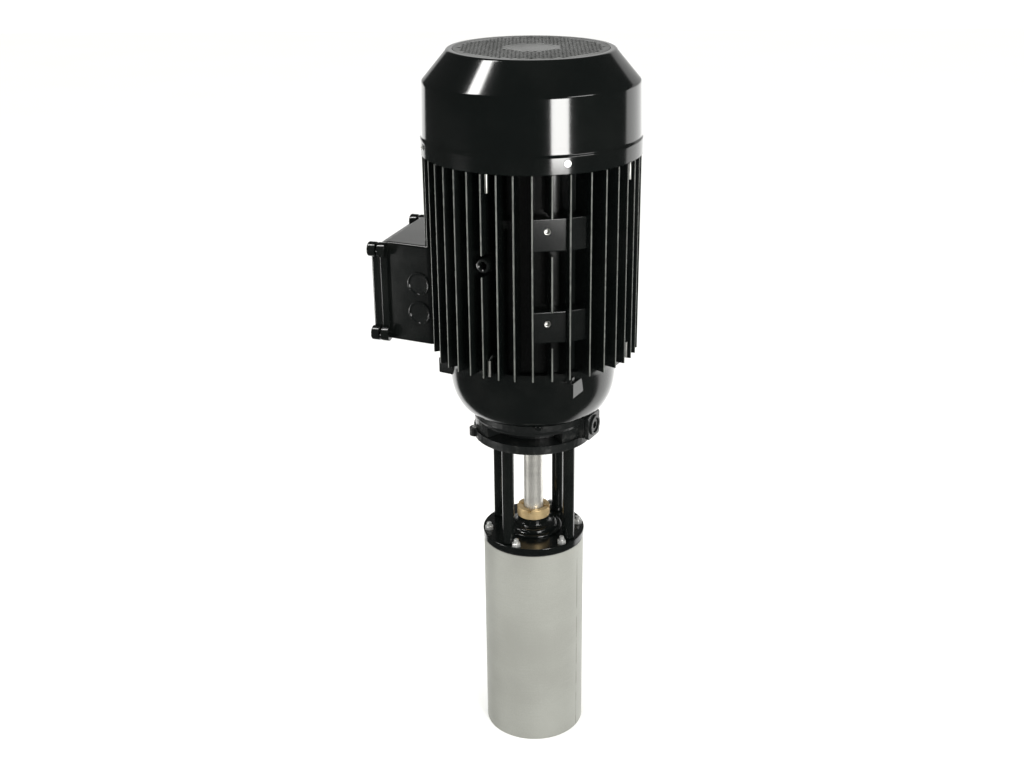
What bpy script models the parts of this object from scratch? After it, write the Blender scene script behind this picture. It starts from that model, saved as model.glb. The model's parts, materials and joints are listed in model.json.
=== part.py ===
"""Vertical immersion pump with a flange-mounted, fan-cooled electric motor on top.

Metres, +Z up. The origin is the centre of the suction end, on the axis of the shaft.
Angles are measured about +Z from -Y, the front, and grow towards +X.
"""
import math

import bmesh
import bpy
from mathutils import Matrix, Vector

# Driving dimensions: gaps and fineness
CLEAR = 0.0003              # gap between pieces that touch
STEP = 0.0004               # a lug stands back this far from the faces of the piece that it grows from
OVERRUN = 0.002             # a cutter reaches this far past the faces that it opens
AXIS_SIDES = 60             # sides of the large round pieces
HUB_SIDES = 36              # sides of the pieces about as wide as the shaft
SMALL_SIDES = 24            # sides of bosses, columns and bores

# Finned frame, size 132: fins 260 mm across
FIN_TIP_R = 0.130
FIN_ROOT_R = 0.1005
FIN_TIP_T = 0.0026
FIN_ROOT_T = 0.0044
FIN_BEVEL = 0.0006
FIN_MIRROR_DEG = -105.0     # the fins stand in pairs about this angle, on the terminal box's side
FIN_DEG = (6.0, 14.0, 22.0, 30.0, 38.0, 46.0, 54.0, 62.0, 70.5, 78.5, 87.0,
           95.6, 105.0, 115.0, 124.5, 136.0, 145.5, 154.5, 163.0, 171.5, 180.0)
STATOR_LOW_Z = 0.5509
STATOR_TOP_Z = 0.7947

# Foot pads and the boss of the lifting eye, on the frame
PAD_ROWS_Z = (0.6140, 0.7240)
PAD_HALF_H = 0.0195
PAD_INSET_DEG = 0.25                # a pad ends inside the fins on both sides, short of their middles
WIDE_PAD_DEG = (105.0, 124.5)       # between these two fins, with the one at 115 cut back
NARROW_PAD_DEG = (124.5, 136.0)
WIDE_PAD_R = 0.1180
NARROW_PAD_R = 0.1205
PAD_HOLE_R = 0.005
PAD_HOLE_DEPTH = 0.012
EYE_DEG = FIN_MIRROR_DEG + 78.5
EYE_Z = 0.692
EYE_BOSS_R = 0.0085
EYE_HOLE_R = 0.0048

# Terminal box
BOX_DEG = -108.0            # the box looks to the left and a little backwards
BOX_LOW_Z = 0.5700
BOX_TOP_Z = 0.6710
BOX_HALF_SIDE = 0.0590      # at the cover
BOX_FOOT_SIDE = 0.0660      # where its walls meet the fins
BOX_FOOT_OUT = 0.1090
BOX_RECESS_DEG = (-138.5, -71.5)    # no fins between these angles, from the box's top downwards
LOW_RECESS_DEG = (-72.5, -63.0)     # the next fin stops at the box's underside
BOX_ROOT_R = FIN_ROOT_R - 0.0008    # the recess cuts the fins down to just below their roots
BOX_SEAM = 0.1750           # distance of the cover's seam from the axis
BOX_RIM_MID_Z = 0.6232
BOX_RIM_HALF_Z = 0.0535
BOX_RIM_SIDE = 0.0640
BOX_LUG_SIDE = 0.0660
BOX_LUG_UP = 0.0538
BOX_LUG_R = 0.0092

# Pump end
SHAFT_R = 0.0125
SHAFT_WAY_R = SHAFT_R + 0.0052      # bore through every still piece that the shaft only passes
SHAFT_LOW_Z = 0.262
SHAFT_TOP_Z = 0.879
TUBE_R = 0.0655
TUBE_WALL = 0.003
TUBE_TOP_Z = 0.2831
STRAINER_T = 0.004
FLANGE_TOP_Z = 0.2943
GLAND_H = 0.0178
NUT_R = 0.0212
NUT_H = 0.0130
NUT_SLOT_W = 0.005
NUT_SLOT_DEPTH = 0.0035
COLUMN_CIRCLE_R = 0.0553
COLUMN_R = 0.0080
COLUMN_FIRST_DEG = 54.4

# Mounting plate, discharge head and its port
PLATE_LOW_Z = 0.4323
PLATE_TOP_Z = 0.4432
PLATE_R = 0.0758
PLATE_EAR_DEG = (-80.0, 100.0)
EAR_R = 0.0075
HEAD_RIM_Z = 0.4585
HEAD_RIM_R = 0.0765
HEAD_TOP_Z = 0.4742
POCKET_DEG = (-50.0, 29.0)
POCKET_R = 0.052
PORT_DEG = 62.0             # the discharge port looks to the right and a little forwards
PORT_Z = 0.4575
PORT_SEAT = 0.0805          # distance of the port's seat from the axis
PORT_HALF = 0.0165
PORT_T = 0.0055
PORT_FACE_R = 0.0130
PORT_FACE_PROUD = 0.0025
PORT_HOLE_R = 0.0093

# Drive-end shield
LUG_AXIS_DEG = 61.5         # the lugs are the corners of a rectangle that lies along this angle
LUG_ALONG = 0.0935
LUG_ACROSS = 0.0740
LUG_LOW_Z = 0.5212
LUG_TOP_Z = 0.5404

# Fan cowl
COWL_BAND_R = 0.1319
COWL_DRUM_R = 0.1302
COWL_SHOULDER_R = 0.1285
COWL_RIM_R = 0.0995
COWL_MOUTH_R = COWL_RIM_R - 0.0085
COWL_WALL = 0.0024
COWL_LOW_Z = 0.7955
COWL_BEAD_Z = 0.8204
COWL_SHOULDER_Z = 0.8815
COWL_TOP_Z = 0.9148
COWL_SCREW_FIRST_DEG = 17.4
GRILLE_T = 0.0020
GRILLE_PITCH = 0.0150
GRILLE_HOLE = 0.0106
GRILLE_RIM = 0.0035
GRILLE_CENTRE_R = 0.0300

# Fan
FAN_BLADES = 8
FAN_HUB_R = 0.026
FAN_BLADE_R = 0.108
FAN_BLADE_HALF_T = 0.0015
FAN_DISC_LOW_Z = 0.829
FAN_DISC_T = 0.0055
FAN_TOP_Z = 0.874


def clear_scene():
    for obj in list(bpy.data.objects):
        bpy.data.objects.remove(obj, do_unlink=True)
    for mesh in list(bpy.data.meshes):
        bpy.data.meshes.remove(mesh)


def material(name, colour, roughness, metallic=0.0):
    mat = bpy.data.materials.new(name)
    mat.use_nodes = True
    shader = mat.node_tree.nodes["Principled BSDF"]
    shader.inputs["Base Color"].default_value = (*colour, 1.0)
    shader.inputs["Roughness"].default_value = roughness
    shader.inputs["Metallic"].default_value = metallic
    mat.diffuse_color = (*colour, 1.0)
    return mat


def heading(deg):
    """Unit vectors at an angle: outwards, and sideways in the direction in which the angle grows."""
    a = math.radians(deg)
    out = Vector((math.sin(a), -math.cos(a), 0.0))
    side = Vector((math.cos(a), math.sin(a), 0.0))
    return out, side


def radial_frame(deg, out=0.0, z=0.0):
    """Matrix whose X points outwards at the angle, Y sideways and Z up."""
    x_axis, y_axis = heading(deg)
    turn = Matrix((x_axis, y_axis, Vector((0.0, 0.0, 1.0)))).transposed().to_4x4()
    return Matrix.Translation(x_axis * out + Vector((0.0, 0.0, z))) @ turn


def outward_frame(deg, out=0.0, z=0.0):
    """Matrix whose Z points outwards at the angle, X sideways and Y up."""
    z_axis, x_axis = heading(deg)
    turn = Matrix((x_axis, Vector((0.0, 0.0, 1.0)), z_axis)).transposed().to_4x4()
    return Matrix.Translation(z_axis * out + Vector((0.0, 0.0, z))) @ turn


def on_axis(vert):
    return math.hypot(vert.co.x, vert.co.y) < 1e-9


def finish(bm, name, mat, frame=None, smooth_deg=35.0):
    """Turns a bmesh into a linked object whose faces point outwards."""
    bmesh.ops.remove_doubles(bm, verts=bm.verts, dist=1e-6)
    if frame is not None:
        bmesh.ops.transform(bm, matrix=frame, verts=bm.verts)
    bmesh.ops.recalc_face_normals(bm, faces=bm.faces)
    mesh = bpy.data.meshes.new(name)
    bm.to_mesh(mesh)
    bm.free()
    mesh.shade_smooth()
    mesh.set_sharp_from_angle(angle=math.radians(smooth_deg))
    mesh.materials.append(mat)
    obj = bpy.data.objects.new(name, mesh)
    bpy.context.scene.collection.objects.link(obj)
    return obj


def turned(name, profile, mat, sides=AXIS_SIDES, frame=None):
    """A solid of revolution about Z from a closed outline of (radius, height) points."""
    bm = bmesh.new()
    verts = [bm.verts.new((r, 0.0, z)) for r, z in profile]
    pairs = list(zip(verts, verts[1:] + verts[:1]))
    edges = [bm.edges.new(pair) for pair in pairs if not (on_axis(pair[0]) and on_axis(pair[1]))]
    bmesh.ops.spin(bm, geom=verts + edges, cent=(0, 0, 0), axis=(0, 0, 1),
                   angle=math.tau, steps=sides, use_merge=True)
    return finish(bm, name, mat, frame)


def cylinder(name, radius, low, high, mat, sides=SMALL_SIDES, frame=None):
    return turned(name, [(0.0, low), (radius, low), (radius, high), (0.0, high)], mat, sides, frame)


def ring(name, radius, bore, low, high, mat, sides=AXIS_SIDES):
    return turned(name, [(bore, low), (radius, low), (radius, high), (bore, high)], mat, sides)


def prism(name, outline, low, high, mat, frame=None):
    """A straight prism from a flat outline, extruded along its own Z."""
    bm = bmesh.new()
    face = bm.faces.new([bm.verts.new((x, y, low)) for x, y in outline])
    grown = bmesh.ops.extrude_face_region(bm, geom=[face])
    top = [item for item in grown["geom"] if isinstance(item, bmesh.types.BMVert)]
    bmesh.ops.translate(bm, vec=(0.0, 0.0, high - low), verts=top)
    return finish(bm, name, mat, frame)


def sector(name, first_deg, last_deg, inner, outer, low, high, mat, steps=1):
    """A prism between two radii and two angles; with one step its inner and outer faces are flat."""
    angles = [first_deg + (last_deg - first_deg) * i / steps for i in range(steps + 1)]
    outline = [heading(deg)[0] * outer for deg in angles]
    outline += [heading(deg)[0] * inner for deg in reversed(angles)]
    return prism(name, [(point.x, point.y) for point in outline], low, high, mat)


def arc(cx, cy, radius, start_deg, end_deg, steps):
    """Points of an arc, both ends included."""
    angles = [math.radians(start_deg + (end_deg - start_deg) * i / steps) for i in range(steps + 1)]
    return [(cx + radius * math.cos(a), cy + radius * math.sin(a)) for a in angles]


def rounded_rectangle(half_x, half_y, radius, steps=4):
    """Outline of a rectangle with rounded corners, anticlockwise."""
    x, y = half_x - radius, half_y - radius
    return (arc(x, y, radius, 0, 90, steps) + arc(-x, y, radius, 90, 180, steps)
            + arc(-x, -y, radius, 180, 270, steps) + arc(x, -y, radius, 270, 360, steps))


def combine(obj, tool, operation):
    """Joins a tool to an object, or cuts it out, with an exact Boolean."""
    tool.hide_render = True
    tool.display_type = "WIRE"
    mod = obj.modifiers.new(operation.lower() + "_" + tool.name, "BOOLEAN")
    mod.operation = operation
    mod.solver = "EXACT"
    mod.object = tool


# Finishes
GLOSS_PAINT = material("gloss_black_paint", (0.012, 0.015, 0.015), 0.12)
PAINT = material("black_paint", (0.016, 0.019, 0.019), 0.25)
CAST_PAINT = material("cast_black_paint", (0.018, 0.021, 0.021), 0.42)
STEEL = material("polished_steel", (0.62, 0.61, 0.58), 0.22, 1.0)
STAINLESS = material("brushed_stainless", (0.40, 0.40, 0.38), 0.45, 1.0)
BRASS = material("brass", (0.66, 0.48, 0.24), 0.3, 1.0)
PLASTIC = material("fan_plastic", (0.03, 0.03, 0.03), 0.6)
SEAL = material("seal", (0.02, 0.02, 0.02), 0.8)


def make_barrel():
    """Suction strainer, barrel, gasket and the flange that closes the barrel."""
    cylinder("suction_strainer", TUBE_R - TUBE_WALL - CLEAR, 0.0, STRAINER_T, STAINLESS, AXIS_SIDES)
    ring("pump_barrel", TUBE_R, TUBE_R - TUBE_WALL, 0.0, TUBE_TOP_Z, STAINLESS)
    gasket_low = TUBE_TOP_Z + CLEAR
    gasket_top = gasket_low + 0.0009
    ring("barrel_gasket", TUBE_R, TUBE_R - 0.008, gasket_low, gasket_top, SEAL)
    ring("pump_flange", TUBE_R + 0.001, SHAFT_WAY_R, gasket_top + CLEAR, FLANGE_TOP_Z, PAINT)


def make_gland():
    """Stepped gland housing on the flange, with a slotted brass nut round the shaft."""
    low = FLANGE_TOP_Z + CLEAR
    top = low + GLAND_H
    neck_r = NUT_R - 0.0004
    turned("gland_housing", [(SHAFT_WAY_R, low), (0.0370, low), (0.0370, low + 0.0022),
                             (0.0355, low + 0.0030), (0.0300, low + 0.0030), (0.0300, low + 0.0062),
                             (0.0285, low + 0.0074), (0.0238, low + 0.0080), (0.0226, low + 0.0100),
                             (neck_r, low + 0.0110), (neck_r, top), (SHAFT_WAY_R, top)], PAINT, HUB_SIDES)
    nut_low = top + CLEAR
    nut_top = nut_low + NUT_H
    bevel = 0.0007
    bore = SHAFT_R + CLEAR
    nut = turned("gland_nut", [(bore, nut_low), (NUT_R - bevel, nut_low), (NUT_R, nut_low + bevel),
                               (NUT_R, nut_top - bevel), (NUT_R - bevel, nut_top), (bore, nut_top)],
                 BRASS, HUB_SIDES)
    reach, half = NUT_R + OVERRUN, NUT_SLOT_W / 2
    outline = [(-reach, -half), (reach, -half), (reach, half), (-reach, half)]
    for i, deg in enumerate((75.0, 165.0)):
        slot = prism("nut_slot_%d" % (i + 1), outline, nut_top - NUT_SLOT_DEPTH, nut_top + OVERRUN, BRASS,
                     radial_frame(deg))
        combine(nut, slot, "DIFFERENCE")


def make_columns():
    """Four columns that carry the motor and its head above the pump flange."""
    for i in range(4):
        out = heading(COLUMN_FIRST_DEG + 90.0 * i)[0]
        cylinder("column_%d" % (i + 1), COLUMN_R, FLANGE_TOP_Z + CLEAR, PLATE_LOW_Z - CLEAR, PAINT,
                 frame=Matrix.Translation(out * COLUMN_CIRCLE_R))


def make_mounting_plate():
    """Round plate that rests on the tank, with two bolt ears."""
    plate = ring("mounting_plate", PLATE_R, SHAFT_WAY_R, PLATE_LOW_Z, PLATE_TOP_Z, CAST_PAINT)
    root = 0.012
    for i, deg in enumerate(PLATE_EAR_DEG):
        outline = [(-root, -root)] + arc(0.0, 0.0, EAR_R, -90, 90, 8) + [(-root, root)]
        ear = prism("plate_ear_%d" % (i + 1), outline, PLATE_LOW_Z + STEP, PLATE_TOP_Z - STEP, CAST_PAINT,
                    radial_frame(deg, PLATE_R - 0.001))
        combine(plate, ear, "UNION")


def make_discharge_head():
    """Cast adaptor between the plate and the motor, with a pocket at the front and a port block."""
    low = PLATE_TOP_Z + CLEAR
    profile = [(SHAFT_WAY_R, low), (HEAD_RIM_R - 0.003, low), (HEAD_RIM_R - 0.002, HEAD_RIM_Z),
               (HEAD_RIM_R, HEAD_RIM_Z + 0.004), (HEAD_RIM_R, HEAD_TOP_Z), (SHAFT_WAY_R, HEAD_TOP_Z)]
    head = turned("discharge_head", profile, CAST_PAINT)
    pocket = sector("head_pocket", *POCKET_DEG, POCKET_R, HEAD_RIM_R + 0.02, low - OVERRUN,
                    HEAD_RIM_Z - 0.0015, CAST_PAINT, steps=12)
    combine(head, pocket, "DIFFERENCE")
    root, wide, narrow = PORT_SEAT - 0.034, 0.018, 0.0165
    block = prism("port_block", [(root, -wide), (PORT_SEAT, -narrow), (PORT_SEAT, narrow), (root, wide)],
                  low + STEP, HEAD_TOP_Z - STEP, CAST_PAINT, radial_frame(PORT_DEG))
    combine(head, block, "UNION")


def make_port():
    """Square port flange with a raised round face, and the plug in its hole."""
    frame = outward_frame(PORT_DEG, PORT_SEAT + CLEAR, PORT_Z)
    outline = rounded_rectangle(PORT_HALF, PORT_HALF, 0.005)
    flange = prism("port_flange", outline, 0.0, PORT_T, CAST_PAINT, frame)
    proud, bevel = PORT_T + PORT_FACE_PROUD, 0.0008
    raised = turned("port_face", [(0.0, OVERRUN), (PORT_FACE_R, OVERRUN), (PORT_FACE_R, proud - bevel),
                                  (PORT_FACE_R - bevel, proud), (0.0, proud)], CAST_PAINT, SMALL_SIDES, frame)
    combine(flange, raised, "UNION")
    hole = cylinder("port_hole", PORT_HOLE_R, -OVERRUN, proud + OVERRUN, CAST_PAINT, frame=frame)
    combine(flange, hole, "DIFFERENCE")
    plug_r, key_r, key_depth = PORT_HOLE_R - CLEAR, 0.0050, 0.0040
    turned("port_plug", [(0.0, 0.0), (plug_r, 0.0), (plug_r, PORT_T), (plug_r - bevel, PORT_T + bevel),
                         (key_r, PORT_T + bevel), (key_r, PORT_T - key_depth), (0.0, PORT_T - key_depth)],
           CAST_PAINT, SMALL_SIDES, frame)


def make_drive_end_shield():
    """Bowl-shaped end shield under the fins, with four bolt lugs."""
    low, high = HEAD_TOP_Z + CLEAR, STATOR_LOW_Z - CLEAR
    shield = turned("drive_end_shield", [(SHAFT_WAY_R, low), (0.0855, low), (0.0865, low + 0.001),
                                         (0.0915, 0.4800), (0.0962, 0.4880), (0.1000, 0.4975),
                                         (0.1025, 0.5087), (0.1040, 0.5220), (0.1055, 0.5360),
                                         (0.1070, 0.5420), (0.1080, 0.5465), (0.1080, high),
                                         (SHAFT_WAY_R, high)], PAINT)
    inner_along, inner_across, corner = 0.060, 0.040, 0.0015
    for i, (sx, sy) in enumerate(((1, -1), (1, 1), (-1, 1), (-1, -1))):
        outline = [(inner_along, inner_across), (LUG_ALONG, inner_across), (LUG_ALONG, LUG_ACROSS - corner),
                   (LUG_ALONG - corner, LUG_ACROSS), (inner_along, LUG_ACROSS)]
        lug = prism("shield_lug_%d" % (i + 1), [(sx * x, sy * y) for x, y in outline], LUG_LOW_Z, LUG_TOP_Z,
                    PAINT, radial_frame(LUG_AXIS_DEG))
        combine(shield, lug, "UNION")


def fin_outline():
    """Cross-section of the frame: five points a fin, and one on the round root between two fins."""
    behind = [FIN_MIRROR_DEG - deg for deg in reversed(FIN_DEG) if deg < 180.0]
    angles = behind + [FIN_MIRROR_DEG + deg for deg in FIN_DEG]
    outline = []
    for deg, following in zip(angles, angles[1:] + [angles[0] + 360.0]):
        out, side = heading(deg)
        for radius, offset in ((FIN_ROOT_R, -FIN_ROOT_T / 2), (FIN_TIP_R - FIN_BEVEL, -FIN_TIP_T / 2),
                               (FIN_TIP_R, 0.0), (FIN_TIP_R - FIN_BEVEL, FIN_TIP_T / 2),
                               (FIN_ROOT_R, FIN_ROOT_T / 2)):
            outline.append(out * radius + side * offset)
        outline.append(heading((deg + following) / 2)[0] * FIN_ROOT_R)
    return [(point.x, point.y) for point in outline]


def add_foot_pads(housing):
    """Four pads on each side of the frame, between fins; the wide ones have a blind hole."""
    fin_gap_deg = 2.0
    number = 0
    for mirror in (1, -1):
        for z in PAD_ROWS_Z:
            for limits, face_r in ((WIDE_PAD_DEG, WIDE_PAD_R), (NARROW_PAD_DEG, NARROW_PAD_R)):
                number += 1
                first, last = sorted(FIN_MIRROR_DEG + mirror * deg for deg in limits)
                first, last = first + PAD_INSET_DEG, last - PAD_INSET_DEG
                corner_r = face_r / math.cos(math.radians(last - first) / 2)
                pad = sector("foot_pad_%d" % number, first, last, FIN_ROOT_R - OVERRUN, corner_r,
                             z - PAD_HALF_H, z + PAD_HALF_H, PAINT)
                combine(housing, pad, "UNION")
                if limits is NARROW_PAD_DEG:
                    continue
                clearing = sector("pad_clearing_%d" % number, first + fin_gap_deg, last - fin_gap_deg,
                                  corner_r - STEP, FIN_TIP_R + OVERRUN, z - PAD_HALF_H - OVERRUN,
                                  z + PAD_HALF_H + OVERRUN, PAINT)
                combine(housing, clearing, "DIFFERENCE")
                hole = cylinder("pad_hole_%d" % number, PAD_HOLE_R, face_r - PAD_HOLE_DEPTH, FIN_TIP_R, PAINT,
                                frame=outward_frame((first + last) / 2, 0.0, z))
                combine(housing, hole, "DIFFERENCE")


def add_eye_boss(housing):
    """Boss with the blind thread of the lifting eye, on a fin that stops short of it."""
    gap_deg, gap_half_h, gap_r = 3.0, 0.0125, 0.108
    clearing = sector("eye_clearing", EYE_DEG - gap_deg, EYE_DEG + gap_deg, gap_r, FIN_TIP_R + OVERRUN,
                      EYE_Z - gap_half_h, EYE_Z + gap_half_h, PAINT)
    combine(housing, clearing, "DIFFERENCE")
    face_r, root_r, hole_low_r = FIN_TIP_R - 0.003, FIN_ROOT_R - 0.010, 0.112
    boss = turned("eye_boss", [(0.0, root_r), (EYE_BOSS_R, root_r), (EYE_BOSS_R, face_r),
                               (EYE_HOLE_R, face_r), (EYE_HOLE_R, hole_low_r), (0.0, hole_low_r)], PAINT,
                  SMALL_SIDES, outward_frame(EYE_DEG, 0.0, EYE_Z))
    combine(housing, boss, "UNION")


def make_stator_housing():
    """Cast frame with radial fins, foot pads, a lifting-eye boss and the recess of the terminal box."""
    housing = prism("stator_housing", fin_outline(), STATOR_LOW_Z, STATOR_TOP_Z, PAINT)
    way = cylinder("shaft_way", SHAFT_WAY_R, STATOR_LOW_Z - OVERRUN, STATOR_TOP_Z + OVERRUN, PAINT)
    combine(housing, way, "DIFFERENCE")
    add_foot_pads(housing)
    add_eye_boss(housing)
    recess = sector("box_recess", *BOX_RECESS_DEG, BOX_ROOT_R, FIN_TIP_R + OVERRUN, STATOR_LOW_Z - OVERRUN,
                    BOX_TOP_Z + CLEAR, PAINT, steps=12)
    combine(housing, recess, "DIFFERENCE")
    low_recess = sector("low_recess", *LOW_RECESS_DEG, BOX_ROOT_R - STEP, FIN_TIP_R + OVERRUN,
                        STATOR_LOW_Z - OVERRUN, BOX_LOW_Z, PAINT, steps=2)
    combine(housing, low_recess, "DIFFERENCE")


def box_outline(seam):
    """Plan of the box, X outwards and Y sideways: its foot fits the round root of the fins."""
    margin_deg = 0.4
    first_deg, last_deg = (deg - BOX_DEG for deg in BOX_RECESS_DEG)
    foot = arc(0.0, 0.0, BOX_ROOT_R + CLEAR, last_deg - margin_deg, first_deg + margin_deg, 12)
    return foot + [(BOX_FOOT_OUT, -BOX_FOOT_SIDE), (seam, -BOX_HALF_SIDE),
                   (seam, BOX_HALF_SIDE), (BOX_FOOT_OUT, BOX_FOOT_SIDE)]


def make_terminal_box():
    """Cast box on the left with a lugged cover and a gasket between them."""
    rim_depth, cover_depth, corner = 0.0095, 0.0097, 0.010
    body_top, gasket_low, gasket_top = BOX_SEAM - 0.0006, BOX_SEAM - 0.0003, BOX_SEAM + 0.0005
    cover_low = gasket_top + CLEAR
    frame = outward_frame(BOX_DEG, 0.0, BOX_RIM_MID_Z)
    plate = rounded_rectangle(BOX_RIM_SIDE, BOX_RIM_HALF_Z, corner)
    inner = rounded_rectangle(BOX_RIM_SIDE - 0.001, BOX_RIM_HALF_Z - 0.001, corner - 0.001)
    body = prism("terminal_box_body", box_outline(BOX_SEAM - rim_depth + OVERRUN), BOX_LOW_Z, BOX_TOP_Z,
                 PAINT, radial_frame(BOX_DEG))
    rim = prism("box_rim", plate, BOX_SEAM - rim_depth, body_top, PAINT, frame)
    combine(body, rim, "UNION")
    prism("terminal_box_gasket", inner, gasket_low, gasket_top, SEAL, frame)
    cover = prism("terminal_box_cover", plate, cover_low, cover_low + cover_depth, PAINT, frame)
    for i, (sx, sy) in enumerate(((1, 1), (-1, 1), (-1, -1), (1, -1))):
        spot = frame @ Matrix.Translation(Vector((sx * BOX_LUG_SIDE, sy * BOX_LUG_UP, 0)))
        low_lug = cylinder("body_lug_%d" % (i + 1), BOX_LUG_R, BOX_SEAM - 0.0115, body_top - STEP,
                           PAINT, frame=spot)
        combine(body, low_lug, "UNION")
        top_lug = cylinder("cover_lug_%d" % (i + 1), BOX_LUG_R, cover_low + STEP,
                           cover_low + cover_depth + 0.0012, PAINT, frame=spot)
        combine(cover, top_lug, "UNION")


def make_rear_end_shield():
    """End shield under the cowl, with four ears that the cowl's screws hold."""
    low = STATOR_TOP_Z + CLEAR
    shield = turned("rear_end_shield", [(SHAFT_WAY_R, low), (0.112, low), (0.112, low + 0.010),
                                        (0.060, low + 0.017), (SHAFT_WAY_R, low + 0.017)], PAINT)
    inner, outer, half = 0.10, COWL_DRUM_R - COWL_WALL - CLEAR - STEP, 0.009
    for i in range(4):
        ear = prism("cowl_ear_%d" % (i + 1), [(inner, -half), (outer, -half), (outer, half), (inner, half)],
                    low + STEP, low + 0.009, PAINT, radial_frame(COWL_SCREW_FIRST_DEG + 90.0 * i))
        combine(shield, ear, "UNION")


def fan_outline():
    """Plan of the fan's hub with straight radial blades."""
    pitch = 360.0 / FAN_BLADES
    foot_r = math.sqrt(FAN_HUB_R ** 2 - FAN_BLADE_HALF_T ** 2)
    outline = []
    for i in range(FAN_BLADES):
        out, side = heading(pitch * i)
        for radius, offset in ((foot_r, -FAN_BLADE_HALF_T), (FAN_BLADE_R, -FAN_BLADE_HALF_T),
                               (FAN_BLADE_R, FAN_BLADE_HALF_T), (foot_r, FAN_BLADE_HALF_T)):
            outline.append(out * radius + side * offset)
        for share in (1 / 3, 2 / 3):
            outline.append(heading(pitch * (i + share))[0] * FAN_HUB_R)
    return [(point.x, point.y) for point in outline]


def make_fan():
    """Moulded fan on the end of the shaft: a disc, a hub and straight blades."""
    disc_top = FAN_DISC_LOW_Z + FAN_DISC_T
    fan = prism("fan_wheel", fan_outline(), disc_top - OVERRUN, FAN_TOP_Z, PLASTIC)
    disc = cylinder("fan_disc", FAN_BLADE_R + 0.003, FAN_DISC_LOW_Z, disc_top, PLASTIC, AXIS_SIDES)
    combine(fan, disc, "UNION")
    bore = cylinder("fan_bore", SHAFT_R + CLEAR, FAN_DISC_LOW_Z - OVERRUN, FAN_TOP_Z + OVERRUN,
                    PLASTIC, HUB_SIDES)
    combine(fan, bore, "DIFFERENCE")


def make_grille(top):
    """Flat grille with a diamond grid of square openings round a plain centre."""
    radius = COWL_MOUTH_R - CLEAR
    grille = cylinder("cowl_grille", radius, top - GRILLE_T, top, GLOSS_PAINT, AXIS_SIDES)
    reach = GRILLE_HOLE / math.sqrt(2.0)
    rows = math.ceil(radius / GRILLE_PITCH)
    bm = bmesh.new()
    for i in range(-rows, rows):
        for j in range(-rows, rows):
            x, y = (i + 0.5) * GRILLE_PITCH, (j + 0.5) * GRILLE_PITCH
            if not GRILLE_CENTRE_R + reach < math.hypot(x, y) < radius - GRILLE_RIM - reach:
                continue
            place = Matrix.Translation((x, y, top - GRILLE_T / 2))
            bmesh.ops.create_cube(bm, size=1.0, matrix=place @ Matrix.Diagonal((
                GRILLE_HOLE, GRILLE_HOLE, GRILLE_T + 2 * OVERRUN, 1.0)))
    holes = finish(bm, "grille_holes", GLOSS_PAINT, Matrix.Rotation(math.radians(45.0), 4, "Z"))
    combine(grille, holes, "DIFFERENCE")


def make_cowl():
    """Spun sheet cowl with a band, a drum, a cone and a round mouth that the grille closes."""
    edge_r, edge_z = COWL_SHOULDER_R, COWL_SHOULDER_Z
    rim_r, top, wall = COWL_RIM_R, COWL_TOP_Z, COWL_WALL
    outside = [(COWL_BAND_R, COWL_LOW_Z), (COWL_BAND_R, COWL_BEAD_Z), (COWL_DRUM_R, COWL_BEAD_Z + 0.0016),
               (edge_r + 0.0004, edge_z - 0.006), (edge_r - 0.0008, edge_z - 0.001),
               (edge_r - 0.0042, edge_z + 0.0035), (rim_r + 0.0035, top - 0.0042), (rim_r, top - 0.0012),
               (rim_r - 0.0045, top), (COWL_MOUTH_R, top)]
    inside = [(COWL_MOUTH_R, top - wall), (rim_r - 0.0045, top - wall), (edge_r - 0.0056, edge_z + 0.0008),
              (edge_r - 0.0028, edge_z - 0.0060), (COWL_DRUM_R - wall, COWL_LOW_Z)]
    turned("fan_cowl", outside + inside, GLOSS_PAINT)
    sunk = 0.0002
    make_grille(top - sunk)


def make_shaft():
    """One shaft from the pump's inside, through the gland and the motor, to the fan."""
    bevel = 0.001
    turned("pump_shaft", [(0.0, SHAFT_LOW_Z), (SHAFT_R - bevel, SHAFT_LOW_Z), (SHAFT_R, SHAFT_LOW_Z + bevel),
                          (SHAFT_R, SHAFT_TOP_Z - bevel), (SHAFT_R - bevel, SHAFT_TOP_Z), (0.0, SHAFT_TOP_Z)],
           STEEL, HUB_SIDES)


def main():
    clear_scene()
    make_barrel()
    make_gland()
    make_columns()
    make_mounting_plate()
    make_discharge_head()
    make_port()
    make_drive_end_shield()
    make_stator_housing()
    make_terminal_box()
    make_rear_end_shield()
    make_fan()
    make_cowl()
    make_shaft()


main()
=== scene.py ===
"""Looks of a vertical immersion pump with a fan-cooled motor: finishes, fasteners, grille and light.

Metres, +Z up along the shaft. Angles are measured about +Z from -Y, the front, and grow towards +X.
"""
import json
import logging
import math
from dataclasses import dataclass
from enum import Enum
from typing import Callable, Optional, Sequence, Union

import bmesh
import bpy
from mathutils import Matrix, Vector

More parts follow.
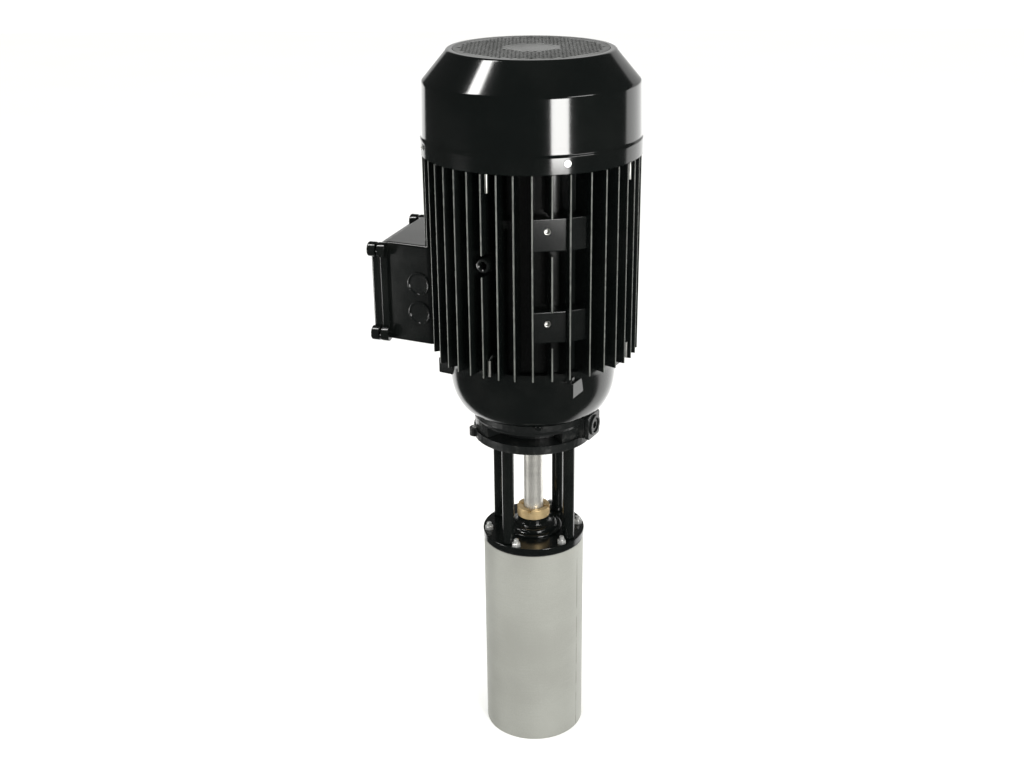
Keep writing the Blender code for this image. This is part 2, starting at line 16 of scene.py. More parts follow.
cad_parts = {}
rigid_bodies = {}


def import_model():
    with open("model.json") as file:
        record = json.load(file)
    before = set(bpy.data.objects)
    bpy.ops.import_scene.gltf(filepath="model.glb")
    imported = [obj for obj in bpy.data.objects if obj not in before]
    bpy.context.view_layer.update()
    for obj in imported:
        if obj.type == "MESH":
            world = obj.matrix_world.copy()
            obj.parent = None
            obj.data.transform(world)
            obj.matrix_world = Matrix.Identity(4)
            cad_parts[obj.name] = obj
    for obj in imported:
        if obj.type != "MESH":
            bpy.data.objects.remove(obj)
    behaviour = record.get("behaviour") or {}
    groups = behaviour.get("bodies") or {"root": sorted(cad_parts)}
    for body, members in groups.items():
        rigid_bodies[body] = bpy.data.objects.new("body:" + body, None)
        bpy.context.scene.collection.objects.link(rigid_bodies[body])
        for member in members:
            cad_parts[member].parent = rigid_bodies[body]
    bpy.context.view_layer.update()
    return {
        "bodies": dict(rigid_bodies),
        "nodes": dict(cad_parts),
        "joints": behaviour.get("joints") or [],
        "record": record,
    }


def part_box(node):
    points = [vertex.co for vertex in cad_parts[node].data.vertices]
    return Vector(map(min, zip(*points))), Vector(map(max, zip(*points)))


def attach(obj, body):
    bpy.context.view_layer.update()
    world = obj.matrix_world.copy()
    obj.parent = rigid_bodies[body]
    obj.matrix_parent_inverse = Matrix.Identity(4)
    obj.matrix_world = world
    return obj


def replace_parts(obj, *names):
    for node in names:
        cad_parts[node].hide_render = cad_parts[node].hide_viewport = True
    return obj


LOG = logging.getLogger("immersion_pump")
STILL = "pump_frame"
TURNING = "rotor"
SHAFT_WAY_R = 0.0177
FaceTest = Callable[[Vector, Vector], bool]
Number = Union[float, "Value"]


class Slot(Enum):
    """Names of the record's material slots."""

    GLOSS_PAINT = "gloss_black_paint"
    PAINT = "black_paint"
    CAST_PAINT = "cast_black_paint"
    PLASTIC = "fan_plastic"
    SEAL = "seal"
    STEEL = "polished_steel"
    STAINLESS = "brushed_stainless"
    BRASS = "brass"


def heading(deg: float) -> tuple[Vector, Vector]:
    """Give the unit vectors at an angle.

    Args:
        deg: Angle about +Z from -Y, growing towards +X.

    Returns:
        The vector outwards, and the one sideways in the direction in which the angle grows.
    """
    a = math.radians(deg)
    return Vector((math.sin(a), -math.cos(a), 0.0)), Vector((math.cos(a), math.sin(a), 0.0))


def radial_frame(deg: float, out: float = 0.0, z: float = 0.0, side: float = 0.0) -> Matrix:
    """Place a piece upright at an angle: its X points outwards, its Y sideways and its Z up.

    Args:
        deg: Angle about the axis.
        out: Distance from the axis.
        z: Height.
        side: Distance sideways.

    Returns:
        The matrix from the piece's own frame to the part's frame.
    """
    x_axis, y_axis = heading(deg)
    turn = Matrix((x_axis, y_axis, Vector((0.0, 0.0, 1.0)))).transposed().to_4x4()
    return Matrix.Translation(x_axis * out + y_axis * side + Vector((0.0, 0.0, z))) @ turn


def outward_frame(deg: float, out: float = 0.0, z: float = 0.0, side: float = 0.0) -> Matrix:
    """Place a piece facing outwards at an angle: its Z points outwards, its X sideways and its Y up.

    Args:
        deg: Angle about the axis.
        out: Distance from the axis.
        z: Height.
        side: Distance sideways.

    Returns:
        The matrix from the piece's own frame to the part's frame.
    """
    z_axis, x_axis = heading(deg)
    turn = Matrix((x_axis, Vector((0.0, 0.0, 1.0)), z_axis)).transposed().to_4x4()
    return Matrix.Translation(z_axis * out + x_axis * side + Vector((0.0, 0.0, z))) @ turn


class Workpiece:
    """A mesh that starts as a primitive and is shaped with Blender's own operators."""

    def __init__(self, name: str) -> None:
        """Take over the primitive that was just added.

        Args:
            name: Name of the piece.
        """
        self.obj = bpy.context.active_object
        self.obj.name = name
        self.obj.data.name = name
        self.apply_place()

    @staticmethod
    def deselect() -> None:
        """Deselect every object."""
        for obj in bpy.context.selected_objects:
            obj.select_set(False)

    @classmethod
    def cylinder(cls, name: str, radius: float, low: float, high: float, sides: int = 24) -> "Workpiece":
        """Start from an upright cylinder on the Z axis.

        Args:
            name: Name of the piece.
            radius: Radius of its corners.
            low: Height of its lower end.
            high: Height of its upper end.
            sides: Number of its sides.

        Returns:
            The workpiece.
        """
        cls.deselect()
        bpy.ops.mesh.primitive_cylinder_add(vertices=sides, radius=radius, depth=high - low,
                                            location=(0.0, 0.0, (low + high) / 2))
        return cls(name)

    @classmethod
    def box(cls, name: str, low: Sequence[float], high: Sequence[float]) -> "Workpiece":
        """Start from a box between two corners.

        Args:
            name: Name of the piece.
            low: Its lowest corner.
            high: Its highest corner.

        Returns:
            The workpiece.
        """
        cls.deselect()
        low_corner, high_corner = Vector(low), Vector(high)
        bpy.ops.mesh.primitive_cube_add(size=1.0, location=(low_corner + high_corner) / 2,
                                        scale=high_corner - low_corner)
        return cls(name)

    @classmethod
    def grid(cls, name: str, size: float, cells: int, z: float) -> "Workpiece":
        """Start from a flat square grid.

        Args:
            name: Name of the piece.
            size: Length of its edges.
            cells: Number of cells along each edge.
            z: Its height.

        Returns:
            The workpiece.
        """
        cls.deselect()
        bpy.ops.mesh.primitive_grid_add(x_subdivisions=cells, y_subdivisions=cells, size=size,
                                        location=(0.0, 0.0, z))
        return cls(name)

    @classmethod
    def outline(cls, name: str, points: Sequence[tuple[float, float]], upright: bool = False) -> "Workpiece":
        """Start from a flat ring of edges, with its corners moved to an outline.

        Args:
            name: Name of the piece.
            points: The outline's points, as X and Y, or as X and Z where it is upright.
            upright: Whether it stands in the XZ plane.

        Returns:
            The workpiece, in edit mode with everything selected.
        """
        cls.deselect()
        bpy.ops.mesh.primitive_circle_add(vertices=len(points), radius=1.0, fill_type="NOTHING")
        piece = cls(name)
        piece.only_this()
        bpy.ops.object.mode_set(mode="EDIT")
        bpy.ops.mesh.select_mode(type="VERT")
        shape = bmesh.from_edit_mesh(piece.obj.data)
        for vert, (first, second) in zip(shape.verts, points):
            vert.co = (first, 0.0, second) if upright else (first, second, 0.0)
        bmesh.update_edit_mesh(piece.obj.data)
        bpy.ops.mesh.select_all(action="SELECT")
        return piece

    @classmethod
    def turned(cls, name: str, profile: Sequence[tuple[float, float]], steps: int = 160) -> "Workpiece":
        """Spin a closed outline round the Z axis.

        Args:
            name: Name of the piece.
            profile: Points of radius and height.
            steps: Number of steps of the spin.

        Returns:
            The workpiece.
        """
        piece = cls.outline(name, profile, upright=True)
        bpy.ops.mesh.spin(steps=steps, angle=math.tau, center=(0.0, 0.0, 0.0), axis=(0.0, 0.0, 1.0),
                          use_auto_merge=True)
        bpy.ops.mesh.select_all(action="SELECT")
        bpy.ops.mesh.remove_doubles(threshold=0.00001)
        bpy.ops.mesh.normals_make_consistent(inside=False)
        return piece.done()

    @classmethod
    def slab(cls, name: str, points: Sequence[tuple[float, float]], low: float, high: float) -> "Workpiece":
        """Extrude a flat outline upwards.

        Args:
            name: Name of the piece.
            points: The outline.
            low: Height of its lower face.
            high: Height of its upper face.

        Returns:
            The workpiece.
        """
        piece = cls.outline(name, points)
        bpy.ops.mesh.edge_face_add()
        bpy.ops.transform.translate(value=(0.0, 0.0, low))
        piece.extrude(0.0, 0.0, high - low)
        bpy.ops.mesh.select_all(action="SELECT")
        bpy.ops.mesh.normals_make_consistent(inside=False)
        return piece.done()

    def only_this(self) -> None:
        """Select this piece alone and make it the active one."""
        self.deselect()
        self.obj.select_set(True)
        bpy.context.view_layer.objects.active = self.obj

    def apply_place(self) -> None:
        """Move the object's place into its mesh, so that the object sits at the origin."""
        self.only_this()
        bpy.ops.object.transform_apply(location=True, rotation=True, scale=True)

    def pick(self, test: FaceTest) -> "Workpiece":
        """Enter edit mode with the faces selected that pass a test.

        Args:
            test: Takes a face's centre and normal, and says whether it is wanted.

        Returns:
            The workpiece, in edit mode.
        """
        self.only_this()
        bpy.ops.object.mode_set(mode="EDIT")
        bpy.ops.mesh.select_mode(type="FACE")
        bpy.ops.mesh.select_all(action="DESELECT")
        shape = bmesh.from_edit_mesh(self.obj.data)
        for face in shape.faces:
            face.select_set(test(face.calc_center_median(), face.normal))
        bmesh.update_edit_mesh(self.obj.data)
        return self

    def inset(self, thickness: float, depth: float = 0.0, each: bool = False) -> "Workpiece":
        """Inset the selected faces.

        Args:
            thickness: Width of the new border.
            depth: How far the inner face moves along its normal.
            each: Whether each face gets a border of its own.

        Returns:
            The workpiece, in edit mode.
        """
        bpy.ops.mesh.inset(thickness=thickness, depth=depth, use_individual=each, use_even_offset=True)
        return self

    def extrude(self, x: float, y: float, z: float) -> "Workpiece":
        """Extrude the selected faces.

        Args:
            x: Distance along X.
            y: Distance along Y.
            z: Distance along Z.

        Returns:
            The workpiece, in edit mode.
        """
        bpy.ops.mesh.extrude_region_move(TRANSFORM_OT_translate={"value": (x, y, z)})
        return self

    def delete_faces(self) -> "Workpiece":
        """Delete the selected faces."""
        bpy.ops.mesh.delete(type="FACE")
        return self

    def done(self) -> "Workpiece":
        """Leave edit mode."""
        bpy.ops.object.mode_set(mode="OBJECT")
        return self

    def modify(self, kind: str, **settings: object) -> "Workpiece":
        """Add a modifier and apply it.

        Args:
            kind: The modifier's type.
            **settings: Its settings.

        Returns:
            The workpiece.
        """
        self.only_this()
        modifier = self.obj.modifiers.new(kind.lower(), kind)
        for key, value in settings.items():
            setattr(modifier, key, value)
        bpy.ops.object.modifier_apply(modifier=modifier.name)
        return self

    def bevel(self, width: float, segments: int = 2, angle_deg: float = 40.0) -> "Workpiece":
        """Round the sharp edges.

        Args:
            width: Width of the bevel.
            segments: Number of its steps.
            angle_deg: Edges sharper than this are rounded.

        Returns:
            The workpiece.
        """
        return self.modify("BEVEL", width=width, segments=segments, limit_method="ANGLE",
                           angle_limit=math.radians(angle_deg), use_clamp_overlap=True)

    def combine(self, tool: "Workpiece", operation: str) -> "Workpiece":
        """Join a tool to the piece, cut it out or keep what both share, and remove the tool.

        Args:
            tool: The other workpiece.
            operation: UNION, DIFFERENCE or INTERSECT.

        Returns:
            The workpiece.
        """
        self.modify("BOOLEAN", operation=operation, solver="EXACT", object=tool.obj)
        bpy.data.objects.remove(tool.obj, do_unlink=True)
        return self

    def join(self, *others: "Workpiece") -> "Workpiece":
        """Take other workpieces into this one's object."""
        self.only_this()
        for other in others:
            other.obj.select_set(True)
        bpy.ops.object.join()
        return self

    def place(self, matrix: Matrix) -> "Workpiece":
        """Move and turn the piece, with its place kept in its mesh."""
        self.obj.matrix_world = matrix @ self.obj.matrix_world
        self.apply_place()
        return self

    def copy(self, name: str, matrix: Matrix) -> "Workpiece":
        """Make a copy with its own mesh.

        Args:
            name: Name of the copy.
            matrix: Where it goes, from this piece's place.

        Returns:
            The copy.
        """
        self.only_this()
        bpy.ops.object.duplicate(linked=False)
        return Workpiece(name).place(matrix)

    def dress(self, finish: bpy.types.Material, slot: Slot, body: str = STILL,
              smooth_deg: float = 35.0) -> bpy.types.Object:
        """Shade the piece, give it its finish and let it ride on a body.

        Args:
            finish: Its material.
            slot: The record's slot for it; not used.
            body: The body that carries it.
            smooth_deg: Edges flatter than this are shaded smooth.

        Returns:
            The finished object.
        """
        self.only_this()
        bpy.ops.object.shade_smooth_by_angle(angle=math.radians(smooth_deg))
        self.modify("WEIGHTED_NORMAL", mode="FACE_AREA", keep_sharp=True)
        self.obj.data.materials.clear()
        self.obj.data.materials.append(finish)
        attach(self.obj, body)
        return self.obj


class Value:
    """A socket that is used like a number: each operator adds its Math node."""

    def __init__(self, shader: "Shader", socket: bpy.types.NodeSocket) -> None:
        """Wrap a socket.

        Args:
            shader: The shader that it belongs to.
            socket: The node's output.
        """
        self.shader = shader
        self.socket = socket

    def __add__(self, other: Number) -> "Value":
        """Add."""
        return self.shader.maths("ADD", self, other)

    __radd__ = __add__

    def __mul__(self, other: Number) -> "Value":
        """Multiply."""
        return self.shader.maths("MULTIPLY", self, other)

    __rmul__ = __mul__


class Shader:
    """The nodes of one material, made call by call round its Principled BSDF."""

    def __init__(self, name: str) -> None:
        """Start a material.

        Args:
            name: Its name.
        """
        self.material = bpy.data.materials.new(name)
        self.material.use_nodes = True
        self.tree = self.material.node_tree
        self.principled = self.tree.nodes["Principled BSDF"]
        self.place = self.node("ShaderNodeTexCoord").outputs["Object"]

    def node(self, kind: str, settings: Optional[dict[str, object]] = None,
             sockets: Optional[dict[Union[str, int], object]] = None) -> bpy.types.Node:
        """Add a node.

        Args:
            kind: The node's type.
            settings: Its settings; a ramp's stops are given as "stops".
            sockets: Values or links of its inputs.

        Returns:
            The node.
        """
        made = self.tree.nodes.new(kind)
        for key, value in (settings or {}).items():
            if key == "stops":
                self.set_stops(made.color_ramp, value)
            else:
                setattr(made, key, value)
        for key, value in (sockets or {}).items():
            self.feed(made.inputs[key], value)
        return made

    @staticmethod
    def set_stops(ramp: bpy.types.ColorRamp, stops: Sequence[tuple[float, float]]) -> None:
        """Give a ramp its grey stops.

        Args:
            ramp: The ramp.
            stops: Pairs of a place and a grey value.
        """
        for element, (position, grey) in zip(ramp.elements, stops):
            element.position = position
            element.color = (grey, grey, grey, 1.0)

    def feed(self, socket: bpy.types.NodeSocket, value: object) -> None:
        """Link a socket, or set its number.

        Args:
            socket: The input.
            value: A Value, an output socket or a plain number or colour.
        """
        if isinstance(value, Value):
            self.tree.links.new(value.socket, socket)
        elif isinstance(value, bpy.types.NodeSocket):
            self.tree.links.new(value, socket)
        else:
            socket.default_value = value

    def maths(self, operation: str, *terms: Number) -> Value:
        """Add a Math node.

        Args:
            operation: What it does.
            *terms: Its inputs.

        Returns:
            Its result.
        """
        made = self.node("ShaderNodeMath", {"operation": operation}, dict(enumerate(terms)))
        return Value(self, made.outputs[0])

    def stretched(self, x: float, y: float, z: float) -> bpy.types.NodeSocket:
        """Give the object coordinates, stretched along each axis."""
        return self.node("ShaderNodeMapping", None, {"Vector": self.place, "Scale": (x, y, z)}).outputs[0]

    def noise(self, scale: float, detail: float = 3.0, rough: float = 0.55,
              where: Optional[bpy.types.NodeSocket] = None) -> Value:
        """Add a noise texture.

        Args:
            scale: Its features are about one over this, in metres.
            detail: Number of octaves.
            rough: Weight of the fine octaves.
            where: Its coordinates, or None for the object's own.

        Returns:
            Its value, about 0.5 on average.
        """
        made = self.node("ShaderNodeTexNoise", None, {"Vector": where or self.place, "Scale": scale,
                                                      "Detail": detail, "Roughness": rough})
        return Value(self, made.outputs["Fac"])

    def along(self, direction: Sequence[float]) -> Value:
        """Give the distance from the origin along a direction."""
        made = self.node("ShaderNodeVectorMath", {"operation": "DOT_PRODUCT"}, {0: self.place, 1: direction})
        return Value(self, made.outputs["Value"])

    def from_axis(self) -> Value:
        """Give the distance from the Z axis."""
        flat = self.node("ShaderNodeVectorMath", {"operation": "MULTIPLY"},
                         {0: self.place, 1: (1.0, 1.0, 0.0)})
        return Value(self, self.node("ShaderNodeVectorMath", {"operation": "LENGTH"},
                                     {0: flat.outputs[0]}).outputs["Value"])

    def step(self, value: Value, low: float, high: float) -> Value:
        """Ramp a value from 0 to 1 between two limits."""
        made = self.node("ShaderNodeMapRange", {"interpolation_type": "SMOOTHSTEP"},
                         {"Value": value, "From Min": low, "From Max": high})
        return Value(self, made.outputs["Result"])

    def blend(self, factor: Number, first: object, second: object) -> bpy.types.NodeSocket:
        """Mix two colours.

        Args:
            factor: 0 for the first, 1 for the second.
            first: A colour or a link.
            second: A colour or a link.

        Returns:
            The mixed colour.
        """
        made = self.node("ShaderNodeMix", {"data_type": "RGBA"})
        self.feed(made.inputs[0], factor)
        self.feed(made.inputs[6], first)
        self.feed(made.inputs[7], second)
        return made.outputs[2]

    def bump(self, height: Value, strength: float, depth: float) -> None:
        """Roughen the surface.

        Args:
            height: The surface's height, from 0 to 1.
            strength: Share of the bump that shows.
            depth: Real depth of the bump, in metres.
        """
        made = self.node("ShaderNodeBump", None, {"Height": height, "Strength": strength, "Distance": depth})
        self.feed(self.principled.inputs["Normal"], made.outputs[0])

    def surface(self, **values: object) -> None:
        """Set or link sockets of the Principled BSDF, whose names are given with _ for a space."""
        for key, value in values.items():
            self.feed(self.principled.inputs[key.replace("_", " ")], value)


def arc(across: float, along: float, radius: float, first_deg: float, last_deg: float,
        steps: int = 6) -> list[tuple[float, float]]:
    """Give the points of an arc, both ends included.

    Args:
        across: First coordinate of its centre.
        along: Second coordinate of its centre.
        radius: Its radius.
        first_deg: Angle of its first point.
        last_deg: Angle of its last point.
        steps: Number of its steps.

    Returns:
        The points.
    """
    angles = [math.radians(first_deg + (last_deg - first_deg) * i / steps) for i in range(steps + 1)]
    return [(across + radius * math.cos(a), along + radius * math.sin(a)) for a in angles]


def rounded_rectangle(side: float, up: float, corner: float) -> list[tuple[float, float]]:
    """Give the outline of a rectangle with round corners, about the origin.

    Args:
        side: Half its width.
        up: Half its height.
        corner: Radius of its corners.

    Returns:
        Its points.
    """
    outline = []
    for turn, (sx, sy) in enumerate(((1, 1), (-1, 1), (-1, -1), (1, -1))):
        outline += arc(sx * (side - corner), sy * (up - corner), corner, 90 * turn, 90 * turn + 90)
    return outline


def grey(red: float, green: float, blue: float) -> tuple[float, float, float, float]:
    """Give a colour with full alpha."""
    return red, green, blue, 1.0


@dataclass(frozen=True)
class Paint:
    """Black enamel: how even, how glossy and how dusty it is, and how far out a highlight is painted on."""

    name: str
    colour: tuple[float, float, float, float] = grey(0.0024, 0.0032, 0.0030)
    dust_colour: tuple[float, float, float, float] = grey(0.030, 0.031, 0.028)
    dust: float = 0.25
    roughness: float = 0.16
    spread: float = 0.08
    peel_scale: float = 620.0
    peel_depth: float = 0.00012
    peel_strength: float = 0.05
    # Painted highlight: beyond this distance from the axis the enamel is painted lighter, in place of the
    # light caught on the fin tips.
    tip_highlight_r: float = 1.0
    tip_highlight_colour: tuple[float, float, float, float] = grey(0.095, 0.100, 0.092)

    def build(self) -> bpy.types.Material:
        """Make the material: orange peel, uneven gloss, a film of dust and a painted highlight, lighter
        enamel far out from the axis.
        """
        shader = Shader(self.name)
        cloud = shader.noise(14.0, 4.0, 0.6)
        speck = shader.noise(420.0, 2.0, 0.5)
        film = shader.step(cloud * 0.9 + speck * 0.1, 0.42, 0.70) * self.dust
        # Painted highlight: lighter, rougher enamel beyond the given radius, broken up by noise, in place of
        # the light on the fin tips.
        tip_highlight = shader.step(shader.from_axis(), self.tip_highlight_r - 0.0002, self.tip_highlight_r + 0.0003)
        tip_highlight = tip_highlight * (0.55 + 0.45 * shader.step(shader.noise(60.0, 4.0, 0.7), 0.30, 0.62))
        paint = shader.blend(film, self.colour, self.dust_colour)
        shader.surface(Base_Color=shader.blend(tip_highlight, paint, self.tip_highlight_colour),
                       Roughness=self.roughness + cloud * self.spread + film * 0.25 + tip_highlight * 0.1,
                       Specular_IOR_Level=0.5)
        shader.bump(shader.noise(self.peel_scale, 2.0, 0.5), self.peel_strength, self.peel_depth)
        return shader.material


@dataclass(frozen=True)
class CastPaint:
    """Thick black enamel over a rough sand casting."""

    name: str
    colour: tuple[float, float, float, float] = grey(0.0052, 0.0062, 0.0060)
    worn_colour: tuple[float, float, float, float] = grey(0.036, 0.036, 0.033)
    roughness: float = 0.24
    grain_scale: float = 260.0
    grain_depth: float = 0.0009

    def build(self) -> bpy.types.Material:
        """Make the material: sand grain, soft lumps and greyer spots where the enamel is thin."""
        shader = Shader(self.name)
        lumps = shader.noise(70.0, 3.0, 0.5)
        grain = shader.noise(self.grain_scale, 3.0, 0.6)
        thin = shader.step(lumps * 0.6 + grain * 0.4, 0.52, 0.68) * 0.4
        shader.surface(Base_Color=shader.blend(thin, self.colour, self.worn_colour),
                       Roughness=self.roughness + lumps * 0.16 + thin * 0.2, Specular_IOR_Level=0.5)
        shader.bump(lumps * 0.45 + grain * 0.55, 0.55, self.grain_depth)
        return shader.material


@dataclass(frozen=True)
class Stainless:
    """Brushed stainless tube: fine rings round it, faint clouds and a darker heat tint at its seam."""

    name: str
    seam_deg: float
    bright: tuple[float, float, float, float] = grey(0.340, 0.345, 0.316)
    dull: tuple[float, float, float, float] = grey(0.280, 0.283, 0.257)
    tint: tuple[float, float, float, float] = grey(0.150, 0.145, 0.125)
    seam_half: float = 0.0013
    roughness: float = 0.52
    metallic: float = 0.35

    def build(self) -> bpy.types.Material:
        """Make the material."""
        shader = Shader(self.name)
        brushing = shader.noise(60.0, 4.0, 0.65, shader.stretched(0.6, 0.6, 22.0))
        clouds = shader.noise(9.0, 3.0, 0.5)
        pits = shader.noise(700.0, 2.0, 0.5)
        tone = shader.step(brushing * 0.2 + clouds * 0.6 + pits * 0.2, 0.36, 0.66)
        outwards, sideways = heading(self.seam_deg)
        away = shader.maths("ABSOLUTE", shader.along(sideways))
        seam = shader.step(away, self.seam_half, self.seam_half * 0.3)
        seam = seam * shader.step(shader.along(outwards), 0.0, 0.01)
        seam = seam * shader.step(shader.noise(40.0, 3.0, 0.6), 0.36, 0.56)
        metal = shader.blend(tone, self.dull, self.bright)
        shader.surface(Base_Color=shader.blend(seam * 0.8, metal, self.tint), Metallic=self.metallic,
                       Roughness=self.roughness + brushing * 0.12)
        shader.bump(brushing * 0.5 + pits * 0.5, 0.08, 0.0002)
        return shader.material


@dataclass(frozen=True)
class TurnedMetal:
    """Bare turned or ground metal with fine rings round its axis."""

    name: str
    bright: tuple[float, float, float, float]
    dull: tuple[float, float, float, float]
    roughness: float = 0.16
    metallic: float = 1.0
    ring_scale: float = 900.0

    def build(self) -> bpy.types.Material:
        """Make the material: turning marks, oily clouds and small scratches."""
        shader = Shader(self.name)
        rings = shader.noise(self.ring_scale, 2.0, 0.6, shader.stretched(0.02, 0.02, 1.0))
        clouds = shader.noise(45.0, 4.0, 0.6)
        tone = shader.step(rings * 0.2 + clouds * 0.8, 0.36, 0.62)
        shader.surface(Base_Color=shader.blend(tone, self.dull, self.bright), Metallic=self.metallic,
                       Roughness=self.roughness + clouds * 0.10 + rings * 0.04)
        shader.bump(rings, 0.03, 0.00003)
        return shader.material


@dataclass(frozen=True)
class Moulded:
    """Moulded plastic or rubber with a fine grain."""

    name: str
    colour: tuple[float, float, float, float]
    pale: tuple[float, float, float, float]
    roughness: float = 0.55

    def build(self) -> bpy.types.Material:
        """Make the material."""
        shader = Shader(self.name)
        cloud = shader.noise(30.0, 4.0, 0.6)
        grain = shader.noise(1500.0, 2.0, 0.5)
        shader.surface(Base_Color=shader.blend(shader.step(cloud, 0.45, 0.75) * 0.6, self.colour, self.pale),
                       Roughness=self.roughness + grain * 0.15)
        shader.bump(grain, 0.2, 0.0001)
        return shader.material


class Finishes:
    """All the finishes, and which CAD node wears which."""

    def __init__(self) -> None:
        """Build the materials."""
        self.gloss = Paint("gloss_enamel", roughness=0.09, spread=0.04, dust=0.05, peel_strength=0.03).build()
        self.paint = Paint("motor_enamel", roughness=0.13, spread=0.06, dust=0.10).build()
        self.grille = Paint("grille_enamel", colour=grey(0.016, 0.018, 0.016), roughness=0.20,
                            dust=0.4).build()
        # The fins get a painted highlight along their tips, beyond 0.1296 m from the axis.
        self.fins = Paint("fin_enamel", roughness=0.15, spread=0.06, dust=0.06, tip_highlight_r=0.1296).build()
        self.cast = CastPaint("casting_enamel").build()
        self.stainless = Stainless("brushed_tube", seam_deg=60.0).build()
        self.steel = TurnedMetal("ground_steel", grey(0.78, 0.77, 0.72), grey(0.62, 0.61, 0.57),
                                 roughness=0.30, metallic=0.8).build()
        self.zinc = TurnedMetal("zinc_fastener", grey(0.76, 0.77, 0.75), grey(0.55, 0.55, 0.54),
                                roughness=0.24, metallic=0.75).build()
        self.bare = TurnedMetal("bare_casting", grey(0.60, 0.60, 0.57), grey(0.32, 0.32, 0.30),
                                roughness=0.34).build()
        self.brass = TurnedMetal("turned_brass", grey(0.74, 0.56, 0.30), grey(0.55, 0.40, 0.20),
                                 roughness=0.36, metallic=0.7).build()
        self.plastic = Moulded("fan_plastic_grain", grey(0.012, 0.012, 0.012),
                               grey(0.028, 0.028, 0.027)).build()
        self.rubber = Moulded("seal_rubber", grey(0.008, 0.008, 0.008), grey(0.018, 0.018, 0.017),
                              roughness=0.7).build()

    def dress_nodes(self, nodes: dict[str, bpy.types.Object]) -> None:
        """Give every CAD node its finish.

        Args:
            nodes: The frame's nodes by name.
        """
        special = {
            "fan_cowl": self.gloss, "cowl_grille": self.gloss, "fan_wheel": self.plastic,
            "discharge_head": self.cast, "mounting_plate": self.cast, "port_flange": self.cast,
            "port_plug": self.cast, "pump_shaft": self.steel, "gland_nut": self.brass,
            "pump_barrel": self.stainless, "suction_strainer": self.stainless,
            "barrel_gasket": self.rubber, "terminal_box_gasket": self.rubber,
        }
        for name, obj in nodes.items():
            finish = special.get(name, self.paint)
            for place in obj.material_slots:
                place.material = finish
        LOG.info("dressed %d nodes", len(nodes))


@dataclass
class Fastener:
    """Bolt heads, nuts and screws, each modelled once and copied."""

    finishes: Finishes

    def nut_on_stud(self, name: str, flats: float, stud_r: float, stud_top: float) -> Workpiece:
        """Model a washer, a hexagon nut and a stud that stands out of it, seated on z = 0.

        Args:
            name: Name of the piece.
            flats: Width across the nut's flats.
            stud_r: Radius of the stud.
            stud_top: Height of the stud's end.

        Returns:
            The workpiece.
        """
        washer_t, nut_h = flats * 0.13, flats * 0.52
        corner_r = flats / 2 / math.cos(math.radians(30))
        washer = Workpiece.cylinder(name, flats * 0.60, 0.0, washer_t).bevel(washer_t * 0.25)
        nut = Workpiece.cylinder("nut", corner_r, washer_t - 0.0001, washer_t + nut_h, 6)
        nut.pick(lambda centre, normal: normal.z > 0.9).inset(flats * 0.07, flats * 0.05).done()
        nut.bevel(flats * 0.02, 1, 25)
        stud = Workpiece.cylinder("stud", stud_r, washer_t, stud_top, 16)
        stud.pick(lambda centre, normal: normal.z > 0.9).inset(stud_r * 0.25, stud_r * 0.22).done()
        return washer.join(nut, stud)

    def hexagon_head(self, name: str, flats: float, washer_share: float = 0.60) -> Workpiece:
        """Model a hexagon bolt head on its washer, seated on z = 0.

        Args:
            name: Name of the piece.
            flats: Width across the head's flats.
            washer_share: The washer's radius over the flats.

        Returns:
            The workpiece.
        """
        washer_t, head_h = flats * 0.13, flats * 0.40
        corner_r = flats / 2 / math.cos(math.radians(30))
        washer = Workpiece.cylinder(name, flats * washer_share, 0.0, washer_t).bevel(washer_t * 0.25)
        head = Workpiece.cylinder("head", corner_r, washer_t - 0.0001, washer_t + head_h, 6)
        head.pick(lambda centre, normal: normal.z > 0.9).inset(flats * 0.08, flats * 0.06)
        head.inset(flats * 0.06, -flats * 0.015).done().bevel(flats * 0.02, 1, 25)
        return washer.join(head)

    def socket_screw(self, name: str, head_r: float, head_h: float) -> Workpiece:
        """Model a cylinder-head screw with a hexagon socket, seated on z = 0.

        Args:
            name: Name of the piece.
            head_r: Radius of its head.
            head_h: Height of its head.

        Returns:
            The workpiece.
        """
        head = Workpiece.cylinder(name, head_r, 0.0, head_h, 32).bevel(head_r * 0.12, 2)
        key = Workpiece.cylinder("key", head_r * 0.56, head_h * 0.4, head_h + 0.001, 6)
        return head.combine(key, "DIFFERENCE")

    def slotted_dome(self, name: str, head_r: float, washer_r: float) -> Workpiece:
        """Model a slotted pan-head screw on a rubber-backed washer, seated on z = 0.

        Args:
            name: Name of the piece.
            head_r: Radius of its head.
            washer_r: Radius of its washer.

        Returns:
            The workpiece.
        """
        head_h, washer_t = head_r * 0.62, 0.0007
        washer = Workpiece.cylinder(name, washer_r, 0.0, washer_t, 24).bevel(0.0002)
        head = Workpiece.cylinder("head", head_r, washer_t, washer_t + head_h, 24)
        head.bevel(head_r * 0.42, 4)
        slot = Workpiece.box("slot", (-head_r * 1.2, -head_r * 0.11, washer_t + head_h * 0.45),
                             (head_r * 1.2, head_r * 0.11, washer_t + head_h * 1.5))
        return washer.join(head.combine(slot, "DIFFERENCE"))


